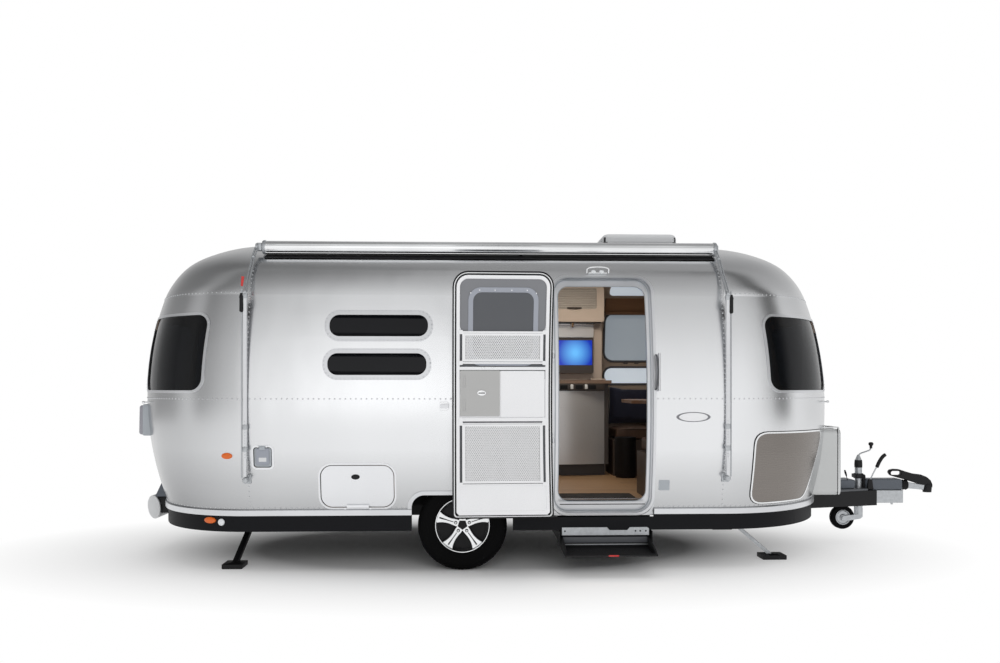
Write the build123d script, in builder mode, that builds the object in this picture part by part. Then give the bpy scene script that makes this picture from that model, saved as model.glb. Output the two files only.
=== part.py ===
from build123d import *
import math
import os

# Travel caravan on one axle: riveted aluminium body, steel chassis and A-frame drawbar.
# Millimetres. X runs forward to the coupling, Y to the left, Z up.
# The origin is the centre of the ball socket. Helpers turn "ahead of the axle" and
# "above the ground" into this frame.

# ---- driving dimensions ---------------------------------------------------------------
BALL_HEIGHT = 455.0
AXLE_TO_BALL = 4120.0
BALL_DIAMETER = 50.0

TYRE_DIAMETER = 668.0
TYRE_WIDTH = 205.0
RIM_SEAT_DIAMETER = 400.0
RIM_FLANGE_DIAMETER = 419.0
TRACK = 2005.0

REAR_SEAM = -1584.0         # where the straight body meets the rear end, from the axle
FRONT_SEAM = 1966.0
BODY_BOTTOM = 460.0         # heights above the ground
SHOULDER_HEIGHT = 2055.0
WALL_TOP = 2250.0
CROWN_HEIGHT = 2563.0
FLOOR_HEIGHT = 520.0
WALL = 40.0

# Outer profiles, each three tangent arcs from the rail over the shoulder to the crown:
# greatest reach, height of that reach, side radius, shoulder radius
SIDE = (1220.0, 1250.0, 3400.0, 490.0)
REAR = (1049.0, 1305.0, 2160.0, 657.0)
FRONT = (1127.0, 1180.0, 2580.0, 700.0)

SEAT = 0.3                  # gap where curved or separate pieces rest on each other
PLAY = 0.05                 # radial running clearance on pins and shafts
CLEAR = 6.0                 # gap round a moving door or lid
RIGHT = -1                  # sign of Y on the door side
LEFT = 1

RAIL_HEIGHT = 40.0
RAIL_PROUD = 16.0
SKIRT_BOTTOM = 300.0
SKIRT_THICKNESS = 16.0

CHASSIS_DEPTH = 130.0
CHASSIS_WIDTH = 50.0
CHASSIS_SPREAD = 500.0      # centre line of each main rail from the middle
CHASSIS_TOP = BODY_BOTTOM
CHASSIS_LOW = BODY_BOTTOM - CHASSIS_DEPTH
CHASSIS_REAR = -2330.0
DRAWBAR_START = 1900.0
DRAWBAR_APEX = 3620.0
APEX_HALF = 62.0
CROSS_MEMBERS = (-2250.0, -1500.0, -700.0, 620.0, 1500.0)
BUMPER_REAR = -2615.0
BUMPER_DEPTH = 112.0
BUMPER_HALF = 370.0
BUMPER_LOW = 352.0
BUMPER_HIGH = 478.0
BUMPER_ARM_Y = 290.0

ARCH_HALF_LENGTH = 376.0
ARCH_HEIGHT = 570.0
ARCH_RADIUS = 95.0
WELL_HALF_LENGTH = 425.0
WELL_INNER = 862.0
WELL_HEIGHT = 742.0
WELL_SHEET = 6.0

DOORWAY_X = 1045.0          # middle of the doorway, ahead of the axle
DOORWAY_WIDTH = 746.0
DOORWAY_BOTTOM = 424.0
DOORWAY_TOP = 2200.0
DOORWAY_RADIUS = 118.0
FRAME_FLANGE = 16.0
FRAME_JAMB = 4.0
LEAF_THICKNESS = 21.0
SCREEN_THICKNESS = 14.0
LIP_WIDTH = 46.0
DOOR_HINGE_PROUD = 25.0
DOOR_HINGE_HEIGHTS = (980.0, 1600.0)

os.makedirs("parts", exist_ok=True)


def fore(distance):
    """X of a place given ahead of the axle."""
    return distance - AXLE_TO_BALL


def up(height):
    """Z of a height above the ground."""
    return height - BALL_HEIGHT


def save(piece, name):
    """Label a finished piece and write it as its own file."""
    piece.part.label = name
    export_step(piece.part, f"parts/{name}.step")
    print(f"{name:22s} solids {len(piece.part.solids())}  litres {piece.part.volume / 1e6:9.3f}")


# ---- the body's shape -----------------------------------------------------------------
def profile_arcs(profile):
    """Centre distance, centre height, radius, first and last angle of the three arcs."""
    reach, middle, radius, shoulder_radius = profile
    shoulder_angle = math.asin((SHOULDER_HEIGHT - middle) / radius)
    side_centre = reach - radius
    shoulder_y = side_centre + (radius - shoulder_radius) * math.cos(shoulder_angle)
    shoulder_z = middle + (radius - shoulder_radius) * math.sin(shoulder_angle)
    rise = CROWN_HEIGHT - shoulder_z
    roof_radius = (shoulder_y**2 + rise**2 - shoulder_radius**2) / (2 * (rise - shoulder_radius))
    roof_angle = math.acos(shoulder_y / (roof_radius - shoulder_radius))
    return (
        (side_centre, middle, radius, -math.pi / 2, shoulder_angle),
        (shoulder_y, shoulder_z, shoulder_radius, shoulder_angle, roof_angle),
        (0.0, CROWN_HEIGHT - roof_radius, roof_radius, roof_angle, math.pi / 2),
    )


def reach_at(profile, height, inset=0.0):
    """Distance from the middle to the profile, set in by an inset, at a height."""
    for centre_y, centre_z, radius, first, last in profile_arcs(profile):
        sine = (height - centre_z) / (radius - inset)
        if abs(sine) <= 1 and first <= math.asin(sine) <= last:
            return centre_y + (radius - inset) * math.cos(math.asin(sine))
    raise ValueError(f"no profile at height {height}")


def profile_run(profile, inset, low, high):
    """Start, middle and end points of each arc of a profile between two heights."""
    spans = []
    for centre_y, centre_z, radius, first, last in profile_arcs(profile):
        size = radius - inset
        start = max(first, math.asin(max(-1, min(1, (low - centre_z) / size))))
        end = min(last, math.asin(max(-1, min(1, (high - centre_z) / size))))
        if end - start > 1e-6:
            angles = (start, (start + end) / 2, end)
            spans.append([(centre_y + size * math.cos(a), centre_z + size * math.sin(a)) for a in angles])
    return spans


def draw_run(spans, side, backwards=False):
    """Draw a profile's arcs on one side, upwards or downwards."""
    for span in reversed(spans) if backwards else spans:
        points = [(side * y, up(z)) for y, z in span]
        ThreePointArc(*(reversed(points) if backwards else points))


def side_slab(side, outer, inner, x_from, x_to, low, high, mode=Mode.ADD):
    """Add the stretch of a side wall's curve that lies between two insets."""
    outside = profile_run(SIDE, outer, low, high)
    inside = profile_run(SIDE, inner, low, high)
    with BuildSketch(Plane.YZ.offset(fore(x_from))) as section:
        with BuildLine():
            draw_run(outside, side)
            Line(place(outside[-1][2], side), place(inside[-1][2], side))
            draw_run(inside, side, backwards=True)
            Line(place(inside[0][0], side), place(outside[0][0], side))
        make_face()
    extrude(section.sketch, amount=x_to - x_from, mode=mode)


def place(point, side):
    """A section point on one side of the body."""
    return (side * point[0], up(point[1]))


def half_oval(plane, depth, half_width):
    """Sketch a half oval of two side arcs and a nose arc, open side along local Y."""
    side_radius = 0.92 * depth
    across = half_width - side_radius
    ahead = depth - side_radius
    nose_centre = (across**2 - ahead**2) / (2 * ahead)
    nose_radius = nose_centre + depth
    lean = math.atan2(across, nose_centre)
    blend_x = side_radius * math.cos(lean)
    blend_y = across + side_radius * math.sin(lean)
    middle_x = side_radius * math.cos((lean + math.pi / 2) / 2)
    middle_y = across + side_radius * math.sin((lean + math.pi / 2) / 2)
    with BuildSketch(plane) as sketch:
        with BuildLine():
            ThreePointArc((0, half_width), (middle_x, middle_y), (blend_x, blend_y))
            ThreePointArc((blend_x, blend_y), (depth, 0), (blend_x, -blend_y))
            ThreePointArc((blend_x, -blend_y), (middle_x, -middle_y), (0, -half_width))
            Line((0, -half_width), (0, half_width))
        make_face()
    return sketch.sketch


# Ends of the body: profile, seam ahead of the axle, direction along X
ENDS = {"rear": (REAR, REAR_SEAM, -1), "front": (FRONT, FRONT_SEAM, 1)}
WALL_HEIGHTS = (BODY_BOTTOM, 850.0, 1250.0, 1650.0, SHOULDER_HEIGHT)
DOME_HEIGHTS = (SHOULDER_HEIGHT, 2160.0, 2260.0, 2345.0, 2415.0, 2470.0, 2512.0, 2541.0, 2557.0)
DOME_HOLLOW = (SHOULDER_HEIGHT - 5, 2160.0, 2260.0, 2345.0, 2415.0, 2465.0, 2500.0, 2516.0)


def end_loft(end, inset, heights, mode=Mode.ADD):
    """Loft one end of the body, set in by an inset, through ovals at given heights."""
    profile, seam, direction = ENDS[end]
    ovals = []
    for height in heights:
        oval_plane = Plane((fore(seam), 0, up(height)), x_dir=(direction, 0, 0), z_dir=(0, 0, 1))
        ovals.append(half_oval(oval_plane, reach_at(profile, height, inset), reach_at(SIDE, height, inset)))
    loft(ovals, mode=mode)


def outline(side, x, z, width, height, radius, mode=Mode.SUBTRACT):
    """Push a rounded rectangle through one side of the body."""
    with BuildSketch(Plane.XZ) as shape:
        with Locations((fore(x), up(z))):
            RectangleRounded(width, height, radius)
    extrude(shape.sketch, amount=-side * 1500, mode=mode)


def side_panel(side, outer, inner, x, z, width, height, radius):
    """A rounded panel that follows the side wall's curve between two insets."""
    half = width / 2 + 5
    side_slab(side, outer, inner, x - half, x + half, z - height / 2 - 5, z + height / 2 + 5)
    outline(side, x, z, width, height, radius, Mode.INTERSECT)


def plan_outline(height, inset):
    """Sketch the body's whole outline at a height, at local Z zero of that height."""
    plane = Plane.XY.offset(up(height))
    half = reach_at(SIDE, height, inset)
    with BuildSketch(plane) as sketch:
        with Locations((fore((REAR_SEAM + FRONT_SEAM) / 2), 0)):
            Rectangle(FRONT_SEAM - REAR_SEAM, 2 * half)
        for profile, seam, direction in ENDS.values():
            turned = Plane((fore(seam), 0, 0), x_dir=(direction, 0, 0), z_dir=(0, 0, 1))
            add(half_oval(turned, reach_at(profile, height, inset), half))
    return sketch.sketch


def side_ring(side, outer, inner, x, z, width, height, radius, border):
    """A frame that follows the side wall, its opening inside a border."""
    side_panel(side, outer, inner, x, z, width, height, radius)
    outline(side, x, z, width - 2 * border, height - 2 * border, max(radius - border, 5))


def plan_ring(low, high, measured, outer, inner):
    """Add an upright band round the body between two heights and two insets."""
    shift = Location((0, 0, low - measured))
    extrude(plan_outline(measured, outer).moved(shift), amount=high - low)
    extrude(plan_outline(measured, inner).moved(shift), amount=high - low, mode=Mode.SUBTRACT)


def block(x, y, z, mode=Mode.ADD):
    """A box given by its (from, to) pairs, X ahead of the axle and Z above the ground."""
    middle = (fore(sum(x) / 2), sum(y) / 2, up(sum(z) / 2))
    with Locations(middle):
        Box(x[1] - x[0], y[1] - y[0], z[1] - z[0], mode=mode)


def rod(start, end, radius, mode=Mode.ADD):
    """A round bar between two points, X ahead of the axle and Z above the ground."""
    first = Vector(fore(start[0]), start[1], up(start[2]))
    last = Vector(fore(end[0]), end[1], up(end[2]))
    with BuildSketch(Plane(first, z_dir=last - first)) as section:
        Circle(radius)
    extrude(section.sketch, amount=(last - first).length, mode=mode)


def drawbar_beams(grow=0.0, mode=Mode.ADD):
    """The two beams of the A-frame, from the main rails to the hitch."""
    for side in (RIGHT, LEFT):
        foot = Vector(fore(DRAWBAR_START), side * CHASSIS_SPREAD, 0)
        apex = Vector(fore(DRAWBAR_APEX), side * APEX_HALF, 0)
        middle = (foot + apex) * 0.5
        slope = math.degrees(math.atan2(apex.Y - foot.Y, apex.X - foot.X))
        beam_middle = up(CHASSIS_LOW + CHASSIS_DEPTH / 2)
        with Locations(Location((middle.X, middle.Y, beam_middle), (0, 0, slope))):
            Box((apex - foot).length, CHASSIS_WIDTH + 2 * grow, CHASSIS_DEPTH + 2 * grow, mode=mode)


def bumper_arms(grow=0.0, mode=Mode.ADD):
    """The two bars that carry the rear bumper from the last cross member."""
    for side in (RIGHT, LEFT):
        edges = sorted((side * (BUMPER_ARM_Y - 20 - grow), side * (BUMPER_ARM_Y + 20 + grow)))
        heights = (BUMPER_LOW + 5 - grow, BUMPER_LOW + 60 + grow)
        block((BUMPER_REAR + 60, CROSS_MEMBERS[0] - 25), edges, heights, mode)


def joined(pieces):
    """Put finished pieces into the active part."""
    for piece in pieces:
        add(piece)


def pane_prism(end, first, last, low, high, radius, grow=0.0, mode=Mode.SUBTRACT):
    """Push a rounded rectangle through an end wall. Angles run from the right side round
    the nose, 90 degrees being straight ahead."""
    profile, seam, direction = ENDS[end]
    depth = reach_at(profile, (low + high) / 2)
    half = reach_at(SIDE, (low + high) / 2)
    angles = [math.radians(angle) for angle in (first, last)]
    start, stop = [(depth * math.sin(a), -half * math.cos(a)) for a in angles]
    along = Vector(direction * (stop[0] - start[0]), stop[1] - start[1], 0)
    outward = Vector(along.Y, -along.X, 0)
    middle_x = fore(seam) + direction * (start[0] + stop[0]) / 2
    centre = (middle_x, (start[1] + stop[1]) / 2, up((low + high) / 2))
    with BuildSketch(Plane(centre, x_dir=along, z_dir=outward)) as shape:
        RectangleRounded(along.length + 2 * grow, high - low + 2 * grow, radius + grow)
    extrude(shape.sketch, amount=260, both=True, mode=mode)


# ---- body shell -----------------------------------------------------------------------
# side, X, Z, width, height, corner radius of each window opening
SIDE_WINDOWS = (
    (RIGHT, -614, 1823, 722, 160, 72),
    (RIGHT, -624, 1538, 722, 160, 72),
    (LEFT, -614, 1823, 722, 160, 72),
    (LEFT, -624, 1538, 722, 160, 72),
    (LEFT, 1665, 1865, 500, 465, 85),
    (LEFT, 1665, 1480, 500, 155, 72),
)
WINDOW_BORDER = 36.0
GLASS_INSET = 8.0
GLASS_THICKNESS = 6.0
# first and last angle of the three panes in each end
END_PANES = ((17.5, 63), (68, 112), (117, 162.5))
PANE_LOW = 1345.0
PANE_HIGH = 1905.0
PANE_RADIUS = 90.0

# X, Z, width, height, corner radius, hinge edge (-1 bottom, 1 top) of each hatch opening
HATCHES = {
    "storage_hatch": (-772, 638, 543, 320, 86, -1),
    "service_hatch": (-1456, 856, 134, 150, 22, 1),
}
HATCH_THICKNESS = 20.0
HATCH_BORDER = 14.0
HATCH_AXIS_PROUD = 12.0

DOORWAY_Z = (DOORWAY_BOTTOM + DOORWAY_TOP) / 2
DOORWAY_HEIGHT = DOORWAY_TOP - DOORWAY_BOTTOM


def arch_cut(side):
    """Cut the open wheel arch through one side."""
    outline(side, 0, ARCH_HEIGHT - ARCH_HALF_LENGTH, 2 * ARCH_HALF_LENGTH, 2 * ARCH_HALF_LENGTH, ARCH_RADIUS)


def side_wall(side):
    """One side wall with its window openings and wheel arch."""
    side_slab(side, 0, WALL, REAR_SEAM, FRONT_SEAM, BODY_BOTTOM, WALL_TOP)
    for window_side, x, z, width, height, radius in SIDE_WINDOWS:
        if window_side == side:
            outline(side, x, z, width, height, radius)
    arch_cut(side)


with BuildPart() as right_wall:
    side_wall(RIGHT)
    outline(RIGHT, DOORWAY_X, DOORWAY_Z, DOORWAY_WIDTH, DOORWAY_HEIGHT, DOORWAY_RADIUS)
    for x, z, width, height, radius, edge in HATCHES.values():
        outline(RIGHT, x, z, width, height, radius)
save(right_wall, "right_wall")

with BuildPart() as left_wall:
    side_wall(LEFT)
save(left_wall, "left_wall")

VENT_X = 1498.0
VENT_OPENING = 460.0
with BuildPart() as roof:
    over = profile_run(SIDE, 0, WALL_TOP, CROWN_HEIGHT)
    under = profile_run(SIDE, WALL, WALL_TOP, CROWN_HEIGHT - WALL)
    with BuildSketch(Plane.YZ.offset(fore(REAR_SEAM))):
        with BuildLine():
            draw_run(over, RIGHT)
            draw_run(over, LEFT, backwards=True)
            Line(place(over[0][0], LEFT), place(under[0][0], LEFT))
            draw_run(under, LEFT)
            draw_run(under, RIGHT, backwards=True)
            Line(place(under[0][0], RIGHT), place(over[0][0], RIGHT))
        make_face()
    extrude(amount=FRONT_SEAM - REAR_SEAM)
    block((VENT_X - VENT_OPENING / 2, VENT_X + VENT_OPENING / 2), (-VENT_OPENING / 2, VENT_OPENING / 2),
          (CROWN_HEIGHT - 200, CROWN_HEIGHT + 50), Mode.SUBTRACT)
save(roof, "roof")

end_panes = []
frames = []
for end in ENDS:
    with BuildPart() as end_wall:
        end_loft(end, 0, WALL_HEIGHTS)
        end_loft(end, WALL, (BODY_BOTTOM - 5, *WALL_HEIGHTS[1:-1], SHOULDER_HEIGHT + 5), Mode.SUBTRACT)
        for first, last in END_PANES:
            pane_prism(end, first, last, PANE_LOW, PANE_HIGH, PANE_RADIUS)
    save(end_wall, f"{end}_end")
    with BuildPart() as dome:
        end_loft(end, 0, DOME_HEIGHTS)
        end_loft(end, WALL, DOME_HOLLOW, Mode.SUBTRACT)
    save(dome, f"{end}_dome")
    for first, last in END_PANES:
        with BuildPart() as pane:
            end_loft(end, GLASS_INSET, WALL_HEIGHTS)
            end_loft(end, GLASS_INSET + GLASS_THICKNESS, WALL_HEIGHTS, Mode.SUBTRACT)
            pane_prism(end, first, last, PANE_LOW, PANE_HIGH, PANE_RADIUS, -SEAT, Mode.INTERSECT)
        end_panes.append(pane.part)
        with BuildPart() as pane_frame:
            end_loft(end, -5, WALL_HEIGHTS)
            end_loft(end, -SEAT, WALL_HEIGHTS, Mode.SUBTRACT)
            pane_prism(end, first, last, PANE_LOW, PANE_HIGH, PANE_RADIUS, 20, Mode.INTERSECT)
            pane_prism(end, first, last, PANE_LOW, PANE_HIGH, PANE_RADIUS, 0, Mode.SUBTRACT)
        frames.append(pane_frame.part)
with BuildPart() as end_windows:
    joined(end_panes)
save(end_windows, "end_windows")

panes = []
for side, x, z, width, height, radius in SIDE_WINDOWS:
    with BuildPart() as pane:
        side_panel(side, GLASS_INSET, GLASS_INSET + GLASS_THICKNESS, x, z,
                   width - 2 * SEAT, height - 2 * SEAT, radius - SEAT)
    panes.append(pane.part)
    with BuildPart() as frame:
        side_ring(side, -5, -SEAT, x, z, width + 2 * WINDOW_BORDER, height + 2 * WINDOW_BORDER,
                  radius + WINDOW_BORDER, WINDOW_BORDER)
    frames.append(frame.part)
with BuildPart() as side_windows:
    joined(panes)
save(side_windows, "side_windows")
with BuildPart() as window_frames:
    joined(frames)
save(window_frames, "window_frames")

def inside_walls(low, high):
    """Keep what lies between the two side walls' inner curves."""
    wall_line = profile_run(SIDE, WALL + SEAT, low, high)
    with BuildSketch(Plane.YZ.offset(fore(REAR_SEAM - 1200))) as section:
        with BuildLine():
            draw_run(wall_line, RIGHT)
            Line(place(wall_line[-1][2], RIGHT), place(wall_line[-1][2], LEFT))
            draw_run(wall_line, LEFT, backwards=True)
            Line(place(wall_line[0][0], LEFT), place(wall_line[0][0], RIGHT))
        make_face()
    extrude(section.sketch, amount=FRONT_SEAM - REAR_SEAM + 2400, mode=Mode.INTERSECT)


with BuildPart() as floor_board:
    extrude(plan_outline(BODY_BOTTOM, WALL + SEAT), amount=FLOOR_HEIGHT - BODY_BOTTOM)
    half = DOORWAY_WIDTH / 2 + 1
    block((DOORWAY_X - half, DOORWAY_X + half), (-1300, -1060), (0, WELL_HEIGHT), Mode.SUBTRACT)
    reach = WELL_HALF_LENGTH + SEAT
    for side in (RIGHT, LEFT):
        edges = sorted((side * (WELL_INNER - SEAT), side * 1310))
        block((-reach, reach), edges, (0, WELL_HEIGHT), Mode.SUBTRACT)
housings = []
for side in (RIGHT, LEFT):
    with BuildPart() as housing:
        edges = sorted((side * WELL_INNER, side * 1310))
        block((-WELL_HALF_LENGTH, WELL_HALF_LENGTH), edges, (BODY_BOTTOM, WELL_HEIGHT))
        edges = sorted((side * (WELL_INNER + WELL_SHEET), side * 1310))
        hollow = WELL_HALF_LENGTH - WELL_SHEET
        block((-hollow, hollow), edges, (0, WELL_HEIGHT - WELL_SHEET), Mode.SUBTRACT)
        inside_walls(BODY_BOTTOM - 10, WELL_HEIGHT + 10)
    housings.append(housing.part)
with BuildPart() as floor:
    joined((floor_board.part, *housings))
save(floor, "floor")

RAIL_GAP = FRAME_FLANGE + SEAT
with BuildPart() as rail_band:
    plan_ring(BODY_BOTTOM - RAIL_HEIGHT, BODY_BOTTOM, BODY_BOTTOM, -RAIL_PROUD, WALL - RAIL_PROUD)
    for side in (RIGHT, LEFT):
        arch_cut(side)
    half = DOORWAY_WIDTH / 2 + RAIL_GAP
    block((DOORWAY_X - half, DOORWAY_X + half), (-1300, -1000), (0, WELL_HEIGHT), Mode.SUBTRACT)
    drawbar_beams(SEAT, Mode.SUBTRACT)

with BuildPart() as skirt:
    plan_ring(SKIRT_BOTTOM, BODY_BOTTOM - RAIL_HEIGHT, BODY_BOTTOM, 4, 4 + SKIRT_THICKNESS)
    for side in (RIGHT, LEFT):
        arch_cut(side)
    half = DOORWAY_WIDTH / 2 + RAIL_GAP
    block((DOORWAY_X - half, DOORWAY_X + half), (-1300, -1000), (BODY_BOTTOM - RAIL_HEIGHT - 22, WELL_HEIGHT),
          Mode.SUBTRACT)
    drawbar_beams(SEAT, Mode.SUBTRACT)
    bumper_arms(SEAT, Mode.SUBTRACT)
save(skirt, "skirt")

arches = []
for side in (RIGHT, LEFT):
    with BuildPart() as arch:
        side_ring(side, -7, -SEAT, 0, ARCH_HEIGHT - ARCH_HALF_LENGTH, 2 * ARCH_HALF_LENGTH + 60,
                  2 * ARCH_HALF_LENGTH + 60, ARCH_RADIUS + 30, 30)
        block((-600, 600), sorted((0, side * 1400)), (-500, BODY_BOTTOM + 2), Mode.SUBTRACT)
    arches.append(arch.part)
with BuildPart() as rub_rail:
    add(rail_band.part)
    joined(arches)
save(rub_rail, "rub_rail")

# ---- doorway and doors ----------------------------------------------------------------
JAMB_DEPTH = 56.0
LIP_DEPTH = 44.0
INNER_DOORWAY = (655.0, 515.0, 2128.0, 80.0)    # width, bottom, top, corner radius
HINGE_X = DOORWAY_X - DOORWAY_WIDTH / 2 - 5
HINGE_Y = RIGHT * (SIDE[0] + DOOR_HINGE_PROUD)
HINGE_PIN = 4.0
HINGE_BARREL = 9.0
HINGE_HALF = 15.0
HINGE_EAR = 20.0

with BuildPart() as jamb:
    side_ring(RIGHT, -3, JAMB_DEPTH, DOORWAY_X, DOORWAY_Z, DOORWAY_WIDTH - 2 * SEAT,
              DOORWAY_HEIGHT - 2 * SEAT, DOORWAY_RADIUS - SEAT, FRAME_JAMB - SEAT)
with BuildPart() as lip:
    side_panel(RIGHT, LIP_DEPTH, JAMB_DEPTH, DOORWAY_X, DOORWAY_Z, DOORWAY_WIDTH - 2 * SEAT,
               DOORWAY_HEIGHT - 2 * SEAT, DOORWAY_RADIUS - SEAT)
    inner_width, inner_bottom, inner_top, inner_radius = INNER_DOORWAY
    outline(RIGHT, DOORWAY_X, (inner_bottom + inner_top) / 2, inner_width, inner_top - inner_bottom,
            inner_radius)
with BuildPart() as door_frame:
    side_ring(RIGHT, -3, -SEAT, DOORWAY_X, DOORWAY_Z, DOORWAY_WIDTH + 2 * FRAME_FLANGE,
              DOORWAY_HEIGHT + 2 * FRAME_FLANGE, DOORWAY_RADIUS + FRAME_FLANGE, FRAME_FLANGE + FRAME_JAMB)
    add(jamb.part)
    add(lip.part)
    for height in DOOR_HINGE_HEIGHTS:
        for low in (height - HINGE_EAR - 18, height + HINGE_EAR):
            skin = -max(reach_at(SIDE, low, -1), reach_at(SIDE, low + 18, -1))
            block((HINGE_X - 8, HINGE_X + 8), (HINGE_Y - 4, skin), (low, low + 18))
        span = (height - HINGE_EAR - 18, height + HINGE_EAR + 18)
        rod((HINGE_X, HINGE_Y, span[0]), (HINGE_X, HINGE_Y, span[1]), HINGE_PIN)
save(door_frame, "door_frame")

DOOR_OPEN = 178.0
DOOR_WINDOW = (424.0, 1655.0, 2030.0, 70.0)     # width, bottom, top, corner radius
LEAF_GAP = FRAME_JAMB + CLEAR
LEAF_WIDTH = DOORWAY_WIDTH - 2 * LEAF_GAP
LEAF_HEIGHT = DOORWAY_HEIGHT - 2 * LEAF_GAP
LEAF_RADIUS = DOORWAY_RADIUS - LEAF_GAP
hinge_line = Axis((fore(HINGE_X), HINGE_Y, 0), (0, 0, 1))
window_width, window_bottom, window_top, window_radius = DOOR_WINDOW
window_z = (window_bottom + window_top) / 2
window_height = window_top - window_bottom
with BuildPart() as closed_leaf:
    side_panel(RIGHT, 1, 1 + LEAF_THICKNESS, DOORWAY_X, DOORWAY_Z, LEAF_WIDTH, LEAF_HEIGHT, LEAF_RADIUS)
    outline(RIGHT, DOORWAY_X, window_z, window_width, window_height, window_radius)
    leaf_edge = DOORWAY_X - LEAF_WIDTH / 2
    for height in DOOR_HINGE_HEIGHTS:
        span = (height - HINGE_HALF, height + HINGE_HALF)
        skin = -reach_at(SIDE, height - HINGE_HALF, 4)
        rod((HINGE_X, HINGE_Y, span[0]), (HINGE_X, HINGE_Y, span[1]), HINGE_BARREL)
        block((HINGE_X, leaf_edge + 40), (HINGE_Y - 4, HINGE_Y + 2), span)
        block((leaf_edge + 10, leaf_edge + 40), (HINGE_Y - 4, skin), span)
        rod((HINGE_X, HINGE_Y, span[0] - 1), (HINGE_X, HINGE_Y, span[1] + 1), HINGE_PIN + PLAY, Mode.SUBTRACT)
with BuildPart() as closed_glass:
    side_panel(RIGHT, 6, 12, DOORWAY_X, window_z, window_width - 2 * SEAT, window_height - 2 * SEAT,
               window_radius - SEAT)

# upper open light and the recessed fields of the screen door: bottom, top, depth
SCREEN_WIDTH = 668.0
SCREEN_HEIGHT = 1700.0
SCREEN_BORDER = 26.0
SCREEN_LIGHT = (1760.0, 2140.0)
with BuildPart() as closed_screen:
    near = 1 + LEAF_THICKNESS + SEAT
    side_panel(RIGHT, near, near + SCREEN_THICKNESS, DOORWAY_X, DOORWAY_Z, SCREEN_WIDTH, SCREEN_HEIGHT, 80)
    light_low, light_high = SCREEN_LIGHT
    outline(RIGHT, DOORWAY_X, (light_low + light_high) / 2, SCREEN_WIDTH - 2 * SCREEN_BORDER,
            light_high - light_low, 54)
with BuildPart() as main_door:
    add(closed_leaf.part.rotate(hinge_line, -DOOR_OPEN))
save(main_door, "main_door")
with BuildPart() as door_window:
    add(closed_glass.part.rotate(hinge_line, -DOOR_OPEN))
save(door_window, "door_window")
with BuildPart() as screen_door:
    add(closed_screen.part.rotate(hinge_line, -DOOR_OPEN))
save(screen_door, "screen_door")

HATCH_PIN = 2.5
HATCH_BARREL = 6.0
frames = []
for name, (x, z, width, height, radius, edge) in HATCHES.items():
    with BuildPart() as frame:
        side_ring(RIGHT, -4, -SEAT, x, z, width + 2 * HATCH_BORDER, height + 2 * HATCH_BORDER,
                  radius + HATCH_BORDER, HATCH_BORDER)
        axis_z = z + edge * (height / 2 + 3)
        axis_y = -reach_at(SIDE, axis_z, -HATCH_AXIS_PROUD)
        barrel = width * 0.3
        rod((x - barrel / 2 - 14, axis_y, axis_z), (x + barrel / 2 + 14, axis_y, axis_z), HATCH_PIN)
        for low in (x - barrel / 2 - 16, x + barrel / 2 + 6):
            ear = sorted((axis_z - edge * 4, axis_z + edge * 10))
            skin = -max(reach_at(SIDE, ear[0], -1), reach_at(SIDE, ear[1], -1))
            block((low, low + 10), (axis_y - 4, skin), ear)
    frames.append(frame.part)
    with BuildPart() as hatch:
        side_panel(RIGHT, 1, 1 + HATCH_THICKNESS, x, z, width - 2 * CLEAR, height - 2 * CLEAR, radius - CLEAR)
        rod((x - barrel / 2, axis_y, axis_z), (x + barrel / 2, axis_y, axis_z), HATCH_BARREL)
        arm = sorted((axis_z - edge * 3, axis_z - edge * 22))
        block((x - barrel / 2, x + barrel / 2), (axis_y - 4, axis_y + 1), arm)
        block((x - barrel / 2, x + barrel / 2), (axis_y - 4, -reach_at(SIDE, arm[0], 6)),
              sorted((axis_z - edge * 12, axis_z - edge * 22)))
        rod((x - barrel, axis_y, axis_z), (x + barrel, axis_y, axis_z), HATCH_PIN + PLAY, Mode.SUBTRACT)
    save(hatch, name)
with BuildPart() as hatch_frames:
    joined(frames)
save(hatch_frames, "hatch_frames")

# ---- chassis, axle and wheels ---------------------------------------------------------
AXLE_TUBE_X = 175.0
AXLE_TUBE_SIZE = 88.0
WHEEL_RADIUS = TYRE_DIAMETER / 2
STUB_RADIUS = 22.0
HUB_INNER = 818.0

with BuildPart() as axle:
    tube_top = CHASSIS_LOW
    tube_z = (tube_top - AXLE_TUBE_SIZE, tube_top)
    tube_x = (AXLE_TUBE_X - AXLE_TUBE_SIZE / 2, AXLE_TUBE_X + AXLE_TUBE_SIZE / 2)
    block(tube_x, (-750, 750), tube_z)
    for side in (RIGHT, LEFT):
        tube_middle = tube_top - AXLE_TUBE_SIZE / 2
        rod((AXLE_TUBE_X, side * 745, tube_middle), (AXLE_TUBE_X, side * 795, tube_middle), 52)
        with BuildSketch(Plane.XZ.offset(-side * 770)) as arm:
            with BuildLine():
                Line((fore(0), up(WHEEL_RADIUS - 34)), (fore(AXLE_TUBE_X), up(tube_z[0] + 4)))
                Line((fore(AXLE_TUBE_X), up(tube_z[0] + 4)), (fore(AXLE_TUBE_X), up(tube_top - 4)))
                Line((fore(AXLE_TUBE_X), up(tube_top - 4)), (fore(0), up(WHEEL_RADIUS + 34)))
                Line((fore(0), up(WHEEL_RADIUS + 34)), (fore(0), up(WHEEL_RADIUS - 34)))
            make_face()
        extrude(arm.sketch, amount=12, both=True)
        rod((0, side * 758, WHEEL_RADIUS), (0, side * 782, WHEEL_RADIUS), 34)
        rod((0, side * 782, WHEEL_RADIUS), (0, side * 800, WHEEL_RADIUS), 110)
        rod((0, side * 800, WHEEL_RADIUS), (0, side * 960, WHEEL_RADIUS), STUB_RADIUS)
save(axle, "axle")

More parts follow.
